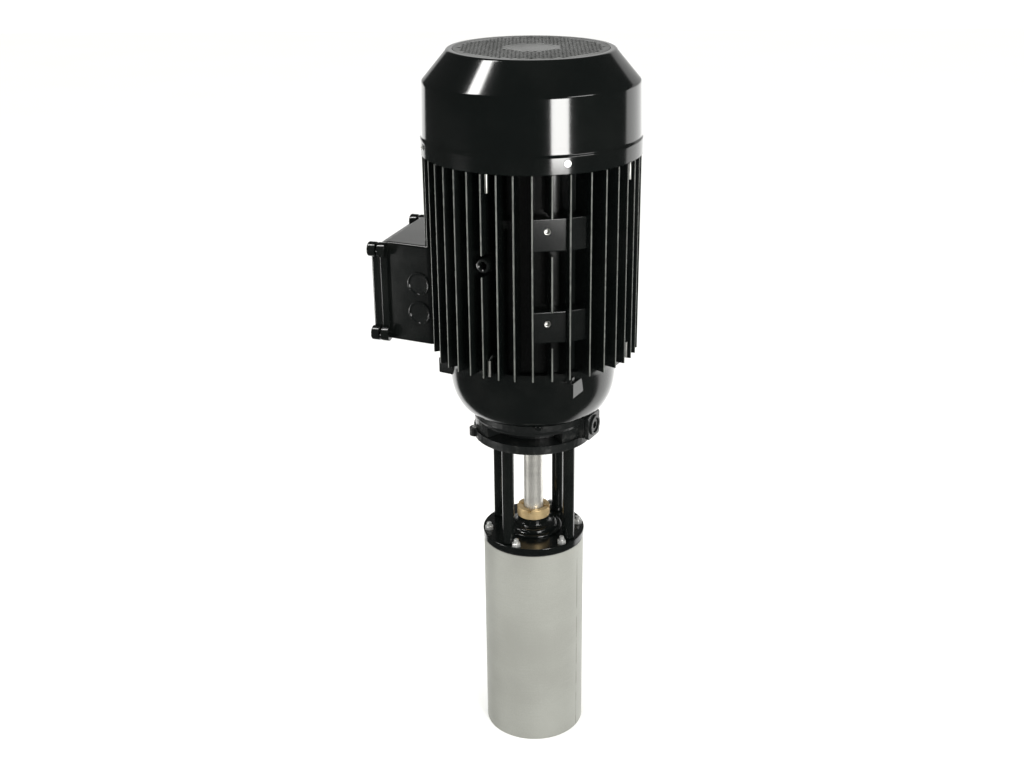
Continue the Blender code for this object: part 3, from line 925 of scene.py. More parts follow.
@dataclass
class FanCowl:
    """The spun cowl with its perforated grille and its four screws."""

    finishes: Finishes
    fasteners: Fastener
    wall: float = 0.0018
    drum_r: float = 0.1302
    shoulder_r: float = 0.1285
    rim_r: float = 0.0995
    mouth_r: float = 0.0911
    edge: float = 0.0008
    bead_z: float = 0.8204
    shoulder_z: float = 0.8815
    lip: float = 0.0040
    shoulder_round: float = 0.0060
    rim_round: float = 0.0050
    pitch: float = 0.0062
    bar: float = 0.0019
    sheet: float = 0.0014
    plain_rim: float = 0.0035
    disc_r: float = 0.0300
    disc_rise: float = 0.0014
    screw_first_deg: float = 17.4
    screw_z: float = 0.8078
    screw_r: float = 0.0026

    def shell_line(self) -> list[tuple[float, float]]:
        """Give the outside of the shell from its lower edge to the mouth, as radius and height."""
        low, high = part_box("fan_cowl")
        band_r, top = high.x, high.z
        lip, hollow = self.lip, self.lip * 0.85
        slope_deg = math.degrees(math.atan2(self.shoulder_r - self.rim_r, top - self.shoulder_z))
        line = [(band_r - self.edge, low.z), (band_r, low.z + self.edge)]
        line += arc(band_r - lip, self.bead_z - 0.0069, lip, 0, 40)
        line += arc(self.drum_r + hollow, self.bead_z - 0.0021, hollow, 220, 180)
        line += arc(self.shoulder_r - self.shoulder_round, self.shoulder_z - 0.0042, self.shoulder_round,
                    3, slope_deg, 8)
        line += arc(self.rim_r - self.rim_round * 0.75, top - self.rim_round, self.rim_round,
                    slope_deg, 90, 8)
        return line + [(self.mouth_r + self.edge / 2, top), (self.mouth_r, top - self.edge / 2)]

    def shell(self) -> None:
        """Spin the shell: a band with a bead above it, a drum, a round shoulder, a cone and a rolled rim."""
        low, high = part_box("fan_cowl")
        ceiling, drum = high.z - self.wall, self.drum_r - self.wall
        inside = [(self.mouth_r, ceiling), (self.rim_r - 0.0060, ceiling),
                  (self.shoulder_r - 0.0052, self.shoulder_z - 0.0005),
                  (self.shoulder_r - 0.0020, self.shoulder_z - 0.0068),
                  (drum, self.bead_z), (drum, low.z)]
        shell = Workpiece.turned("cowl_shell", self.shell_line() + inside)
        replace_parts(shell.dress(self.finishes.gloss, Slot.GLOSS_PAINT, smooth_deg=40.0), "fan_cowl")

    def grille(self) -> None:
        """Model the perforated disc: a diamond lattice of square holes round a raised plain centre."""
        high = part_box("cowl_grille")[1]
        radius, top = high.x, high.z
        cells = 2 * math.ceil(radius / self.pitch) + 2
        cell = cells * self.pitch
        sheet = Workpiece.grid("grille_sheet", cell, cells, top)
        sheet.place(Matrix.Rotation(math.radians(45), 4, "Z"))
        outer, inner = radius - self.plain_rim - self.pitch * 0.6, self.disc_r + self.pitch * 0.5
        sheet.pick(lambda centre, normal: inner < math.hypot(centre.x, centre.y) < outer)
        sheet.inset(self.bar / 2, 0.0, each=True).delete_faces().done()
        sheet.modify("SOLIDIFY", thickness=self.sheet, offset=-1.0)
        sheet.combine(Workpiece.cylinder("trim", radius, top - 0.01, top + 0.01, 96), "INTERSECT")
        centre = Workpiece.cylinder("grille_centre", self.disc_r, top - self.sheet, top + 0.0001, 64)
        centre.pick(lambda place, normal: normal.z > 0.9).inset(0.0030, 0.0)
        centre.inset(0.0022, -self.disc_rise * 0.6).inset(0.0120, 0.0).inset(0.0015, self.disc_rise * 0.5)
        centre.done().bevel(0.0003, 1)
        rim = Workpiece.cylinder("grille_rim", radius, top - self.sheet - 0.0004, top + 0.0001, 96)
        rim.pick(lambda place, normal: abs(normal.z) > 0.9).inset(self.plain_rim, 0.0).done()
        rim.pick(lambda place, normal: abs(normal.z) > 0.9 and math.hypot(place.x, place.y) < 0.001)
        bpy.ops.mesh.bridge_edge_loops()
        rim.done()
        sheet.join(centre, rim)
        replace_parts(sheet.dress(self.finishes.grille, Slot.GLOSS_PAINT), "cowl_grille")

    def screws(self) -> None:
        """Put the four cowl screws on the band."""
        band_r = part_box("fan_cowl")[1].x
        first = self.fasteners.slotted_dome("cowl_screw_1", self.screw_r, self.screw_r * 1.5)
        for i in range(1, 4):
            first.copy("cowl_screw_%d" % (i + 1), self.screw_place(i, band_r)).dress(self.finishes.zinc,
                                                                                    Slot.STEEL)
        first.place(self.screw_place(0, band_r)).dress(self.finishes.zinc, Slot.STEEL)

    def screw_place(self, index: int, band_r: float) -> Matrix:
        """Give the place of one screw on the band."""
        return outward_frame(self.screw_first_deg + 90.0 * index, band_r - 0.0001, self.screw_z)

    def build(self) -> int:
        """Model the cowl's new pieces and count them."""
        self.shell()
        self.grille()
        self.screws()
        return 6


@dataclass
class MotorFrame:
    """The finned frame with its pads, bosses and screws, and the drive-end shield under it."""

    finishes: Finishes
    fasteners: Fastener
    mirror_deg: float = -105.0
    root_r: float = 0.1005
    tip_r: float = 0.130
    tip_half: float = 0.0013
    fin_steps: tuple[float, ...] = (6.0, 14.0, 22.0, 30.0, 38.0, 46.0, 54.0, 62.0, 70.5, 78.5, 87.0,
                                    95.6, 105.0, 115.0, 124.5, 136.0, 145.5, 154.5, 163.0, 171.5)
    box_step: float = 34.0
    short_step: float = 38.0
    eye_step: float = 78.5
    eye_gap: float = 0.0125
    eye_rib_r: float = 0.108
    cut_step: float = 115.0
    wide_pad: tuple[float, float, float] = (105.0, 124.5, 0.1178)
    narrow_pad: tuple[float, float, float] = (124.5, 136.0, 0.1203)
    pad_root_r: float = 0.0985
    pad_rows: tuple[float, float] = (0.6140, 0.7240)
    pad_half: float = 0.0195
    hole_deg: float = 113.4
    hole_rise: float = 0.0040
    thread_r: float = 0.0034
    thread_turns: int = 4
    eye_z: float = 0.6875
    axis_deg: float = 61.5
    lug_along: float = 0.0934
    lug_across: float = 0.0739
    lug_low_z: float = 0.5213
    lug_top_z: float = 0.5403
    lug_inner: tuple[float, float] = (0.060, 0.040)
    lug_corner: float = 0.0022
    bolt_seat_z: float = 0.5404
    bolt_along: float = 0.0855
    bolt_across: float = 0.0665
    bolt_flats: float = 0.010
    boss_deg: float = -24.3
    screw_out: float = 0.1238
    screw_r: float = 0.0020
    upper_screw_z: tuple[float, float] = (0.7720, 0.7940)
    lower_screw_z: tuple[float, float] = (0.5520, 0.5720)
    hidden_screws: tuple[int, ...] = (3,)
    earth_deg: float = -14.0
    earth_z: float = 0.7352
    earth_face: float = 0.1150
    earth_side: float = 0.0062
    earth_up: float = 0.0050

    def fin_angles(self) -> list[float]:
        """Give the angles of all fins: pairs about the mirror line, and one opposite it."""
        pairs = [self.mirror_deg + sign * step for step in self.fin_steps for sign in (1, -1)]
        return pairs + [self.mirror_deg + 180.0]

    def fin_outline(self, tip_r: float) -> list[tuple[float, float]]:
        """Give a fin's cross-section: X outwards, thicker at its root and rounded at its tip."""
        side = [(self.root_r - 0.004, 0.0030), (self.root_r + 0.0008, 0.0024), (self.root_r + 0.003, 0.0021)]
        tip = arc(tip_r - self.tip_half, 0.0, self.tip_half, -80, 80, 8)
        return [(x, -y) for x, y in side] + tip + side[::-1]

    def fin_spans(self, deg: float) -> list[tuple[float, float, float]]:
        """Say where a fin stands, as spans of its lowest and highest height and its tip's radius.

        Args:
            deg: The fin's angle.

        Returns:
            One to three spans, from below.
        """
        low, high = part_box("stator_housing")
        box_low, box_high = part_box("terminal_box_body")
        step = abs((deg - self.mirror_deg + 180.0) % 360.0 - 180.0)
        front, tip = deg > self.mirror_deg, self.tip_r
        if step < self.box_step:
            return [(box_high.z + 0.0005, high.z, tip)]
        if step == self.short_step and front:
            return [(box_low.z, high.z, tip)]
        if step == self.cut_step:
            gap = self.pad_half + 0.002
            first, second = self.pad_rows
            return [(low.z, first - gap, tip), (first + gap, second - gap, tip), (second + gap, high.z, tip)]
        if step == self.eye_step and front:
            under, over = self.eye_z - self.eye_gap, self.eye_z + self.eye_gap
            return [(low.z, under, tip), (under - 0.0005, over + 0.0005, self.eye_rib_r), (over, high.z, tip)]
        return [(low.z, high.z, tip)]

    def finned_shell(self) -> None:
        """Model the finned frame: round core, tapered fins with rounded tips, foot pads and the eye boss."""
        low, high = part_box("stator_housing")
        skin, edge = self.root_r - 0.0004, 0.0006
        core = Workpiece.turned("finned_frame", [
            (SHAFT_WAY_R, low.z), (skin - edge, low.z), (skin, low.z + edge),
            (skin, high.z - edge), (skin - edge, high.z), (SHAFT_WAY_R, high.z)], 180)
        parts = []
        for deg in self.fin_angles():
            for start, end, tip in self.fin_spans(deg):
                fin = Workpiece.slab("fin", self.fin_outline(tip), start, end)
                fin.bevel(0.0005, 2, 60.0)
                parts.append(fin.place(radial_frame(deg)))
        parts += self.foot_pads() + [self.eye_boss()]
        core.join(*parts)
        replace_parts(core.dress(self.finishes.fins, Slot.PAINT, smooth_deg=40.0), "stator_housing")

    def foot_pads(self) -> list[Workpiece]:
        """Model the foot pads, which fill the gaps between fins; the wide ones have a tapped hole."""
        pads = []
        inner = self.pad_root_r
        for sign in (1, -1):
            for z in self.pad_rows:
                for first, last, face in (self.wide_pad, self.narrow_pad):
                    middle, half = (first + last) / 2, math.radians((last - first) / 2)
                    reach = face * math.tan(half)
                    foot = reach * 0.84
                    outline = [(inner, -foot), (face, -reach), (face, reach), (inner, foot)]
                    pad = Workpiece.slab("pad", outline, z - self.pad_half, z + self.pad_half)
                    pad.bevel(0.0016, 3, 60.0)
                    place = radial_frame(self.mirror_deg + sign * middle)
                    if last == self.wide_pad[1]:
                        aside = Matrix.Rotation(math.radians(sign * (self.hole_deg - middle)), 4, "Z")
                        mouth = aside @ Matrix.Translation((face, 0.0, z + self.hole_rise))
                        hole = Workpiece.cylinder("hole", self.thread_r + 0.0010, -0.012, 0.01, 32)
                        hole.place(mouth @ Matrix.Rotation(math.radians(90), 4, "Y"))
                        pad.combine(hole, "DIFFERENCE")
                        self.thread(len(pads) + 1, place @ mouth)
                    pads.append(pad.place(place))
        return pads

    def thread(self, number: int, place: Matrix) -> None:
        """Line a pad's tapped hole with its bare thread.

        Args:
            number: Number of the hole.
            place: The hole's mouth, with X outwards.
        """
        pitch, radius = 0.0012, self.thread_r
        rings = []
        for i in range(self.thread_turns):
            z = -pitch * (i + 1)
            rings += [(radius - pitch / 2, z), (radius, z - pitch / 2)]
        bottom = -pitch * (self.thread_turns + 1)
        mouth = [(radius + 0.0002, -0.0010), (radius - 0.0002, -0.0010)]
        end = [(0.0, bottom), (0.0, bottom - 0.0004), (radius + 0.0002, bottom)]
        thread = Workpiece.turned("pad_thread_%d" % number, mouth + rings + end, 32)
        thread.place(place @ Matrix.Rotation(math.radians(90), 4, "Y")).dress(self.finishes.bare, Slot.STEEL)

    def eye_boss(self) -> Workpiece:
        """Model the boss of the lifting eye, with its blind thread."""
        face, root, bottom = self.tip_r - 0.003, self.root_r - 0.006, 0.112
        boss = Workpiece.turned("boss", [
            (0.0, root), (0.0087, root), (0.0085, face - 0.0012), (0.0081, face - 0.0003), (0.0074, face),
            (0.0056, face), (0.0048, face - 0.0009), (0.0046, bottom), (0.0, bottom)], 48)
        return boss.place(outward_frame(self.mirror_deg + self.eye_step, 0.0, self.eye_z))

    def shield_bell(self) -> None:
        """Spin the bowl of the drive-end shield and fuse the four corner lugs to it."""
        low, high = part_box("drive_end_shield")
        start, end = low.z, high.z
        bowl = [(0.0893, 0.4775), (0.0917, 0.4803), (0.0941, 0.4840), (0.0962, 0.4880),
                (0.0983, 0.4927), (0.1000, 0.4975), (0.1014, 0.5030), (0.1025, 0.5087), (0.1033, 0.5150),
                (0.1040, 0.5220), (0.1047, 0.5290), (0.1055, 0.5360), (0.1062, 0.5393), (0.1070, 0.5420),
                (0.1077, 0.5445), (0.1080, 0.5465)]
        foot = [(SHAFT_WAY_R, start), (0.0852, start), (0.0862, start + 0.0006), (0.0868, start + 0.0018)]
        bell = Workpiece.turned("shield_bell", foot + bowl + [(0.1080, end), (SHAFT_WAY_R, end)], 180)
        lugs = []
        along, across, corner = self.lug_along, self.lug_across, self.lug_corner
        inner = self.lug_inner
        for sx, sy in ((1, -1), (1, 1), (-1, 1), (-1, -1)):
            points = [inner, (along, inner[1])]
            points += arc(along - corner, across - corner, corner, 0, 90, 4) + [(inner[0], across)]
            lug = Workpiece.slab("lug", [(sx * x, sy * y) for x, y in points], self.lug_low_z, self.lug_top_z)
            lugs.append(lug.bevel(0.0010, 2, 60.0).place(radial_frame(self.axis_deg)))
        bell.join(*lugs)
        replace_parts(bell.dress(self.finishes.paint, Slot.PAINT, smooth_deg=40.0), "drive_end_shield")

    def lug_bolts(self) -> None:
        """Put a bolt head on each corner lug of the shield."""
        bolt = self.fasteners.hexagon_head("shield_bolt", self.bolt_flats)
        number = 0
        for along in (self.bolt_along, -self.bolt_along):
            for across in (self.bolt_across, -self.bolt_across):
                number += 1
                place = radial_frame(self.axis_deg, along, self.bolt_seat_z, across)
                bolt.copy("shield_bolt_%d" % number, place).dress(self.finishes.paint, Slot.PAINT)
        bpy.data.objects.remove(bolt.obj, do_unlink=True)

    def screw_bosses(self) -> None:
        """Model the screws that tie the frame to its shields, the lower ones with a forked rib above."""
        for i in range(4):
            deg = self.boss_deg + 90.0 * i
            for name, (start, end) in (("upper", self.upper_screw_z), ("lower", self.lower_screw_z)):
                if i in self.hidden_screws and name == "lower":
                    continue
                screw = Workpiece.cylinder("%s_tie_screw_%d" % (name, i + 1), self.screw_r, start, end, 24)
                screw.pick(lambda centre, normal: abs(normal.z) > 0.9).inset(self.screw_r * 0.3, 0.0)
                screw.done().bevel(0.0005, 2)
                screw.place(radial_frame(deg, self.screw_out)).dress(self.finishes.bare, Slot.STEEL)
                self.screw_seat("%s_screw_seat_%d" % (name, i + 1), deg, start, end, name == "lower")

    def screw_seat(self, name: str, deg: float, start: float, end: float, forked: bool) -> None:
        """Model the rib that holds a tie screw, with a fork above it where it ends in the open.

        Args:
            name: Name of the piece.
            deg: The screw's angle.
            start: Height of the screw's lower end.
            end: Height of the screw's upper end.
            forked: Whether two short arms reach up and apart from the rib's end.
        """
        inner, outer, half = self.root_r - 0.002, self.screw_out - self.screw_r * 0.3, 0.0022
        seat = Workpiece.box(name, (inner, -half, start), (outer, half, end))
        seat.bevel(0.0008, 2)
        if forked:
            for sign in (1, -1):
                arm = Workpiece.box("arm", (inner, -half * 0.5, -0.001), (outer + 0.002, half * 0.5, 0.009))
                arm.bevel(0.0006, 2)
                aside = Matrix.Translation((0.0, sign * 0.0008, end))
                arm.place(aside @ Matrix.Rotation(sign * -0.55, 4, "X"))
                seat.join(arm)
        seat.place(radial_frame(deg)).dress(self.finishes.paint, Slot.PAINT)

    def earth_lug(self) -> None:
        """Model the small earthing boss between two fins, with its bare screw."""
        side, up, face = self.earth_side, self.earth_up, self.earth_face
        boss = Workpiece.box("earth_boss", (-side, -up, self.pad_root_r), (side, up, face))
        boss.bevel(0.0014, 3)
        boss.place(outward_frame(self.earth_deg, 0.0, self.earth_z)).dress(self.finishes.paint, Slot.PAINT)
        screw = self.fasteners.slotted_dome("earth_screw", 0.0026, 0.0036)
        screw.place(outward_frame(self.earth_deg, face - 0.0001, self.earth_z))
        screw.dress(self.finishes.paint, Slot.PAINT)

    def build(self) -> int:
        """Model the frame's new pieces and count them."""
        self.finned_shell()
        self.shield_bell()
        self.lug_bolts()
        self.screw_bosses()
        self.earth_lug()
        return 30


@dataclass
class TerminalBox:
    """The cast terminal box: body, cover, eyelet, screws and cable entries."""

    finishes: Finishes
    fasteners: Fastener
    box_deg: float = -108.0
    seam: float = 0.1750
    rim_mid_z: float = 0.6232
    rim_side: float = 0.0640
    rim_up: float = 0.0535
    corner_r: float = 0.0100
    ear_r: float = 0.0092
    screw_r: float = 0.0044
    screw_sink: float = 0.0032
    flange_depth: float = 0.0089
    cover_depth: float = 0.0097
    foot_in: float = 0.1000
    lug_side: float = 0.0660
    lug_up: float = 0.0538
    wall_foot: float = 0.0660
    wall_seam: float = 0.0590
    foot_out: float = 0.1090
    seam_out: float = 0.1655
    entry_r: float = 0.0150
    entry_out: float = 0.1240
    entry_z: tuple[float, float] = (0.6370, 0.6000)

    def ears(self, radius: float, low: float, high: float) -> list[Workpiece]:
        """Model the four round ears at the corners.

        Args:
            radius: Their radius.
            low: Distance of their inner ends from the axis.
            high: Distance of their outer ends from the axis.

        Returns:
            The ears, before they are placed.
        """
        rim_r = self.screw_r + 0.0012
        first = Workpiece.turned("ear", [
            (0.0, low), (radius - 0.0012, low), (radius - 0.0003, low + 0.0004), (radius, low + 0.0014),
            (radius, high - 0.0016), (radius - 0.0005, high - 0.0005), (radius - 0.0018, high), (rim_r, high),
            (rim_r - 0.0006, high - 0.0006), (rim_r - 0.0006, high - self.screw_sink),
            (0.0, high - self.screw_sink)], 40)
        corners = [(side, up) for side in (1, -1) for up in (1, -1)]
        ears = [first.copy("ear", Matrix.Translation((side * self.lug_side, up * self.lug_up, 0.0)))
                for side, up in corners]
        bpy.data.objects.remove(first.obj, do_unlink=True)
        return ears

    def body(self) -> None:
        """Model the cast body: tapered walls, a flange at the seam and four ears."""
        low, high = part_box("terminal_box_body")
        seam, wall_end = self.seam - 0.0006, self.seam - 0.0046
        foot, seam_side = self.wall_foot, self.wall_seam
        half = [(wall_end, seam_side), (self.foot_out, foot), (self.foot_in, foot * 0.9)]
        walls = Workpiece.slab("box_body", [(x, -y) for x, y in reversed(half)] + half,
                               low.z + 0.0004, high.z - 0.0004)
        walls.bevel(0.0030, 4, 30.0).place(radial_frame(self.box_deg))
        outline = rounded_rectangle(self.rim_side, self.rim_up, self.corner_r)
        flange = Workpiece.slab("flange", outline, seam - self.flange_depth, seam).bevel(0.0012, 3)
        flange.join(*self.ears(self.ear_r, seam - 0.0108, seam - 0.0001))
        walls.join(flange.place(outward_frame(self.box_deg, 0.0, self.rim_mid_z)))
        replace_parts(walls.dress(self.finishes.paint, Slot.PAINT, smooth_deg=40.0), "terminal_box_body")

    def cover(self) -> None:
        """Model the cover: a crowned plate with four ears and a shallow panel."""
        low = self.seam + 0.0008
        high = low + self.cover_depth
        outline = rounded_rectangle(self.rim_side, self.rim_up, self.corner_r)
        cover = Workpiece.slab("box_cover", outline, low, high)
        cover.pick(lambda centre, normal: normal.z > 0.9).inset(0.0055, 0.0).inset(0.0015, -0.0010)
        cover.done().bevel(0.0022, 4, 50.0)
        cover.join(*self.ears(self.ear_r, low + 0.0002, high + 0.0012))
        cover.place(outward_frame(self.box_deg, 0.0, self.rim_mid_z))
        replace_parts(cover.dress(self.finishes.paint, Slot.PAINT, smooth_deg=40.0), "terminal_box_cover")

    def eyelet(self) -> None:
        """Model the round eyelet that stands on the back wall's upper ear."""
        out, side, up = self.seam - 0.012, -self.lug_side, self.lug_up + 0.0085
        ring = Workpiece.turned("box_eyelet", [(x, z) for x, z in arc(0.0066, 0.0, 0.0024, 0, 324, 9)], 40)
        stem = Workpiece.cylinder("stem", 0.0036, 0.0, 0.012, 24).bevel(0.0006)
        stem.place(Matrix.Translation((0.0, -0.0055, 0.0)))
        ring.join(stem)
        ring.place(outward_frame(self.box_deg, out, self.rim_mid_z + up, side))
        ring.dress(self.finishes.paint, Slot.PAINT)

    def cover_screws(self) -> None:
        """Put a low socket screw in each lug of the cover, level with its face."""
        face_out = self.seam + 0.0008 + self.cover_depth + 0.0012 - self.screw_sink
        screw = self.fasteners.socket_screw("cover_screw", self.screw_r, 0.0028)
        number = 0
        for side in (self.lug_side, -self.lug_side):
            for up in (self.lug_up, -self.lug_up):
                number += 1
                place = outward_frame(self.box_deg, face_out, self.rim_mid_z + up, side)
                screw.copy("cover_screw_%d" % number, place).dress(self.finishes.zinc, Slot.STEEL)
        bpy.data.objects.remove(screw.obj, do_unlink=True)

    def wall_place(self, sign: int, out: float, z: float) -> Matrix:
        """Give a place on a side wall of the box, with Z along the wall's normal and Y up.

        Args:
            sign: 1 for the front wall, -1 for the back wall.
            out: Distance from the motor's axis.
            z: Height.

        Returns:
            The matrix from the piece's own frame to the part's frame.
        """
        share = (out - self.foot_out) / (self.seam_out - self.foot_out)
        side = self.wall_foot + (self.wall_seam - self.wall_foot) * share
        x_axis, y_axis = heading(self.box_deg)
        along = (x_axis * (self.seam_out - self.foot_out)
                 + y_axis * sign * (self.wall_seam - self.wall_foot)).normalized()
        normal = along.cross(Vector((0.0, 0.0, 1.0))) * -sign
        up = Vector((0.0, 0.0, 1.0))
        turn = Matrix((up.cross(normal), up, normal)).transposed().to_4x4()
        return Matrix.Translation(x_axis * out + y_axis * sign * side + up * z) @ turn

    def cable_entries(self) -> None:
        """Model the shallow round knock-outs of the cable entries on both side walls."""
        plate = Workpiece.cylinder("cable_entry", self.entry_r, -0.001, 0.0016, 40)
        plate.pick(lambda centre, normal: normal.z > 0.9).inset(0.0022, 0.0).inset(0.0006, -0.0009)
        plate.done().bevel(0.0004, 2)
        number = 0
        for sign in (1, -1):
            for z in self.entry_z:
                number += 1
                plate.copy("cable_entry_%d" % number, self.wall_place(sign, self.entry_out, z)).dress(
                    self.finishes.paint, Slot.PAINT)
        bpy.data.objects.remove(plate.obj, do_unlink=True)

    def build(self) -> int:
        """Model the box's new pieces and count them."""
        self.body()
        self.cover()
        self.eyelet()
        self.cover_screws()
        self.cable_entries()
        return 11


@dataclass
class DischargeHead:
    """Bolts of the cast head, its port and the mounting plate."""

    finishes: Finishes
    fasteners: Fastener
    bolt_circle: float = 0.0815
    bolt_first_deg: float = -85.0
    bolt_flats: float = 0.0085
    ear_deg: tuple[float, float] = (-80.0, 100.0)
    ear_out: float = 0.0752
    port_deg: float = 62.0
    port_z: float = 0.4575
    port_seat: float = 0.0808
    port_half: float = 0.0165
    port_corner: float = 0.0050
    port_t: float = 0.0055
    face_r: float = 0.0130
    face_proud: float = 0.0025
    plug_r: float = 0.0090

    def flange_bolts(self) -> None:
        """Hang four bolt heads under the motor's flange, beside the head."""
        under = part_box("drive_end_shield")[0].z
        bolt = self.fasteners.hexagon_head("flange_bolt", self.bolt_flats)
        flip = Matrix.Rotation(math.pi, 4, "X")
        for i in range(4):
            place = radial_frame(self.bolt_first_deg + 90.0 * i, self.bolt_circle, under) @ flip
            bolt.copy("flange_bolt_%d" % (i + 1), place).dress(self.finishes.paint, Slot.PAINT)
        bpy.data.objects.remove(bolt.obj, do_unlink=True)

    def port(self) -> None:
        """Model the square port flange with its raised round face, and the plug screwed into it."""
        outline = rounded_rectangle(self.port_half, self.port_half, self.port_corner)
        frame = outward_frame(self.port_deg, self.port_seat, self.port_z)
        flange = Workpiece.slab("port_plate", outline, 0.0, self.port_t).bevel(0.0012, 3)
        flange.combine(Workpiece.cylinder("hole", self.plug_r + 0.0004, -0.01, 0.02, 48), "DIFFERENCE")
        proud, face_r, hole_r = self.port_t + self.face_proud, self.face_r, self.plug_r + 0.0003
        face = Workpiece.turned("raised_face", [
            (hole_r, 0.0005), (face_r, 0.0005), (face_r, proud - 0.0010), (face_r - 0.0003, proud - 0.0003),
            (face_r - 0.0010, proud), (hole_r + 0.0006, proud), (hole_r, proud - 0.0006)], 64)
        flange.join(face).place(frame)
        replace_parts(flange.dress(self.finishes.cast, Slot.CAST_PAINT), "port_flange")
        top, key_r = self.port_t + 0.0008, 0.0050
        plug = Workpiece.turned("screwed_plug", [
            (0.0, 0.0), (self.plug_r, 0.0), (self.plug_r, top - 0.0010), (self.plug_r - 0.0003, top - 0.0003),
            (self.plug_r - 0.0010, top), (0.0, top)], 64)
        key = Workpiece.cylinder("key", key_r, top - 0.0045, top + 0.01, 6)
        plug.combine(key, "DIFFERENCE").bevel(0.0003, 2, 50.0).place(frame)
        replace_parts(plug.dress(self.finishes.cast, Slot.CAST_PAINT), "port_plug")

    def ear_bolts(self) -> None:
        """Put a countersunk screw in each ear of the mounting plate."""
        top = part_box("mounting_plate")[1].z
        first, second = (radial_frame(deg, self.ear_out, top - 0.0004) for deg in self.ear_deg)
        screw = self.fasteners.socket_screw("ear_screw_1", 0.0036, 0.0012)
        screw.copy("ear_screw_2", second).dress(self.finishes.zinc, Slot.STEEL)
        screw.place(first).dress(self.finishes.zinc, Slot.STEEL)

    def build(self) -> int:
        """Model the head's new pieces and count them."""
        self.flange_bolts()
        self.port()
        self.ear_bolts()
        return 8


